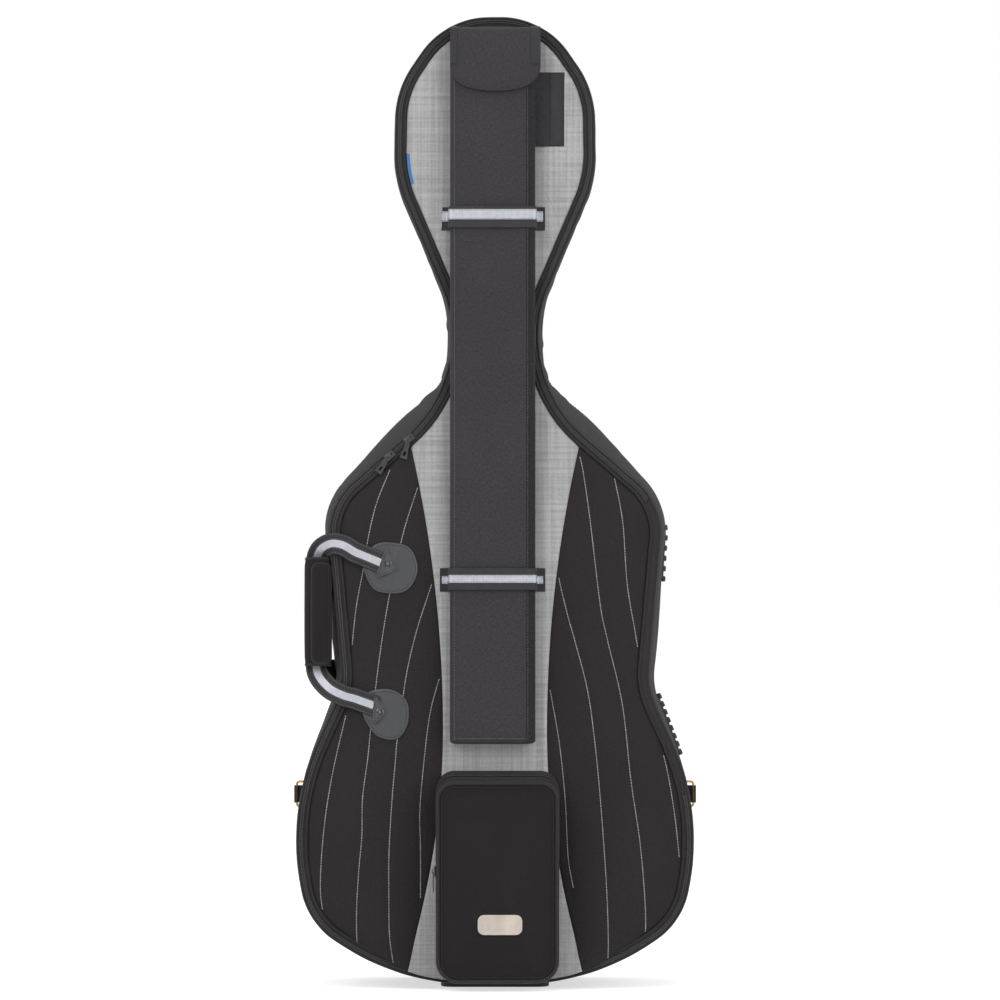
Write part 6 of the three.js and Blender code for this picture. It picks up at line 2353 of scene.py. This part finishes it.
@dataclass
class ShoulderStraps:
    """Backpack straps on the back: pads, webbing, brass rings and their tabs."""

    ring_out: float = 0.275
    ring_back: float = 0.1189
    ring_up: float = 0.262
    ring_half: tuple = mm(9, 18)
    wire: float = 0.0017
    pad_span: tuple = mm(812, 430)

    def build(self) -> None:
        """Makes the pieces of both sides."""
        for side in Side:
            for make in (self.pad, self.ring, self.webbing):
                make(side.value, side.name.lower())

    def pad(self, side: int, name: str) -> None:
        """Padded strap with bound edges and webbing down its middle.

        Args:
            side: which of the two straps.
            name: what its pieces' names start with.
        """
        share = np.linspace(0, 1, 90)
        path = np.column_stack([
            side * (0.064 + 0.046 * share**2), 0.1213 + 0.034 * np.sin(np.pi * share) ** 2 + 0.0023 * share,
            self.pad_span[0] + (self.pad_span[1] - self.pad_span[0]) * share,
        ])
        body = sections(path, ACROSS, flat_profile(0.058, 0.0105, 0.001, 15))
        place(f"{name}_strap_pad", body, PAD_MESH, "case", "black_nylon", (f"{name}_shoulder_pad",), fill=0.6)
        edges = [sections(path, ACROSS, np.array([[reach, 0.0]]))[:, 0] for reach in (-0.0285, 0.0285)]
        for edge, which in zip(edges, ("first", "second")):
            cord = sections(edge, ACROSS, round_profile(0.0022))
            place(f"{name}_pad_{which}_binding", cord, EDGE_BINDING, "case", "black_nylon")
        web = sections(path[2:-2], ACROSS, flat_profile(0.025, 0.0018) + (0, -0.0070))
        place(f"{name}_pad_webbing", web, STRAP_WEBBING, "case", "webbing")
        lines = [
            sections(path[4:-4], ACROSS, np.array([[reach, -0.0079]]))[:, 0] for reach in (-0.0105, 0.0105)
        ]
        stitches(f"{name}_pad_stitching", lines, "case", "webbing", [BACKWARDS] * 2)

    def ring(self, side: int, name: str) -> None:
        """Brass ring of bent wire and the tab that holds it.

        Args:
            side: which of the two.
            name: what its pieces' names start with.
        """
        half, tall = self.ring_half
        outline = rounded_box(-half, half, -tall, tall, 0.004)
        places = outline.ring(80)
        path = places[:, (0, 2, 1)] * (1, 0, 1) + (side * self.ring_out, self.ring_back, self.ring_up)
        wire = sections(path, BACKWARDS, round_profile(self.wire, 14), loop=True)
        place(f"{name}_brass_ring", wire, BRASS, "case", "ring_brass", (f"{name}_ring",), loop=True)
        bar = self.ring_out - half
        turn = np.radians(np.linspace(-90, 90, 13))
        fold = [(bar + 0.0031 * math.cos(a), self.ring_back + 0.0031 * math.sin(a)) for a in turn]
        run = [(0.236, 0.1158), *fold, (bar - 0.010, 0.1178), (0.236, 0.1177)]
        path = np.array([(side * x, y, self.ring_up) for x, y in run])
        tab = sections(smooth_line(path, 0.001), UPRIGHT, flat_profile(0.022, 0.0015))
        place(f"{name}_ring_tab_webbing", tab, CROSS_WEBBING, "case", "webbing", (f"{name}_ring_tab",))

    def webbing(self, side: int, name: str) -> None:
        """Webbing from under the pad to the ring's outer bar.

        Args:
            side: which of the two.
            name: what its pieces' names start with.
        """
        bar = self.ring_out + self.ring_half[0]
        turn = np.radians(np.linspace(90, -80, 12))
        fold = [
            (bar + 0.0030 * math.cos(a), self.ring_back + 0.0030 * math.sin(a), self.ring_up) for a in turn
        ]
        start = [
            mm(*spot)
            for spot in (
                (110, 116.3, 470), (110, 116.3, 430), (135.2, 116.3, 388), (211, 116.3, 262),
                (236, 125.1, 262),
            )
        ]
        run = rounded_run([*start, (bar - 0.018, 0.1251, self.ring_up)], 0.012)
        path = np.vstack([run, np.array([(bar - 0.004, 0.1222, self.ring_up), *fold])])
        path = smooth_line(path * (side, 1, 1), 0.0015)
        level = blend(0.150, 0.236, np.abs(path[:, 0]))[:, None]
        sides = (1 - level) * np.array([0.857 * side, 0, 0.515]) + level * UPRIGHT
        place(
            f"{name}_strap_webbing", sections(path, sides, flat_profile(0.025, 0.0019)), STRAP_WEBBING,
            "case", "webbing",
            (f"{name}_shoulder_webbing",),
        )


@dataclass
class SmallParts:
    """Foot pad, neck cradle with its strap, and the zip sliders with their pulls."""

    foot: tuple = mm(76, 75, 7)
    cradle_low: float = 0.8743
    cradle_high: float = 0.9441
    metal: tuple = ("upper_zip", "lower_zip", "pocket_zip")
    nodes: dict = field(default_factory=dict)

    def build(self) -> None:
        """Makes the pieces."""
        rows = []
        top = self.foot[2]
        for height, inset in (
            (0.0, 0.0015), (0.0005, 0.0004), (0.0014, 0.0), (top - 0.001, 0.0), (top, 0.001)
        ):
            wide, deep = self.foot[0] - inset, self.foot[1] - inset
            places = rounded_box(-wide, wide, -deep, deep, 0.020 - inset).ring(96)
            rows.append(np.column_stack([places[:, :2], np.full(96, height)]))
        place("foot_pad", np.stack(rows), BLACK_RUBBER, "case", "rubber", ("base_pad",))
        middle = (self.cradle_low + self.cradle_high) / 2
        corners = [(x, y, middle) for x, y in pairs((-32, 65.5), (-32, 91.5), (32, 91.5), (32, 65.5))]
        run = rounded_run(corners, 0.010)
        body = sections(run, UPRIGHT, flat_profile(self.cradle_high - self.cradle_low, 0.0145))
        place("neck_cushion", body, LINING_CLOTH, "case", "foam", ("neck_cradle",), fill=0.7)
        run = np.column_stack([np.linspace(-0.040, 0.038, 30), np.full(30, 0.0638), np.full(30, middle)])
        strap = sections(run, UPRIGHT, flat_profile(0.030, 0.0018))
        place("neck_strap_webbing", strap, STRAP_WEBBING, "cradle_strap", "webbing", ("neck_strap",))
        for name in self.metal:
            for kind in ("slider", "pull"):
                self.cast(f"{name}_{kind}", f"{name.replace('_zip', '')}_{kind}")

    def cast(self, node: str, body: str) -> None:
        """Copy of a small metal node with its edges rounded.

        Args:
            node: name of the node.
            body: the body that it is on.
        """
        source = self.nodes[node]
        shape = bmesh.new()
        shape.from_mesh(source.data)
        shape.transform(source.matrix_world)
        bmesh.ops.remove_doubles(shape, verts=shape.verts, dist=0.00001)
        bmesh.ops.dissolve_limit(shape, angle_limit=math.radians(2), verts=shape.verts, edges=shape.edges)
        sharp = [edge for edge in shape.edges if edge.calc_face_angle(0) > math.radians(28)]
        bmesh.ops.bevel(
            shape, geom=sharp, offset=0.0003, segments=2, profile=0.5, affect="EDGES", clamp_overlap=True
        )
        bmesh.ops.triangulate(shape, faces=shape.faces)
        mesh = bpy.data.meshes.new(node)
        shape.to_mesh(mesh)
        shape.free()
        mesh.polygons.foreach_set("use_smooth", np.ones(len(mesh.polygons), bool))
        place(f"{node}_metal", mesh, GUNMETAL, body, "slider_metal", (node,), crease=50)


def main() -> None:
    """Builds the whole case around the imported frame."""
    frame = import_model()
    log.info("frame: %d nodes", len(frame["nodes"]))
    Studio().build()
    SHAPE.stripes = Pinstripes().lines()
    for part in (
        Gusset(), MainZip(), FrontPanels(), Pinstripes(), BackPanel(), Quiver(), Keepers(), Pocket(),
        Handle(), Bumpers(),
        ShoulderStraps(), SmallParts(nodes=frame["nodes"]),
    ):
        part.build()


if __name__ == "__main__":
    logging.basicConfig(level=logging.INFO, format="%(message)s")
    main()
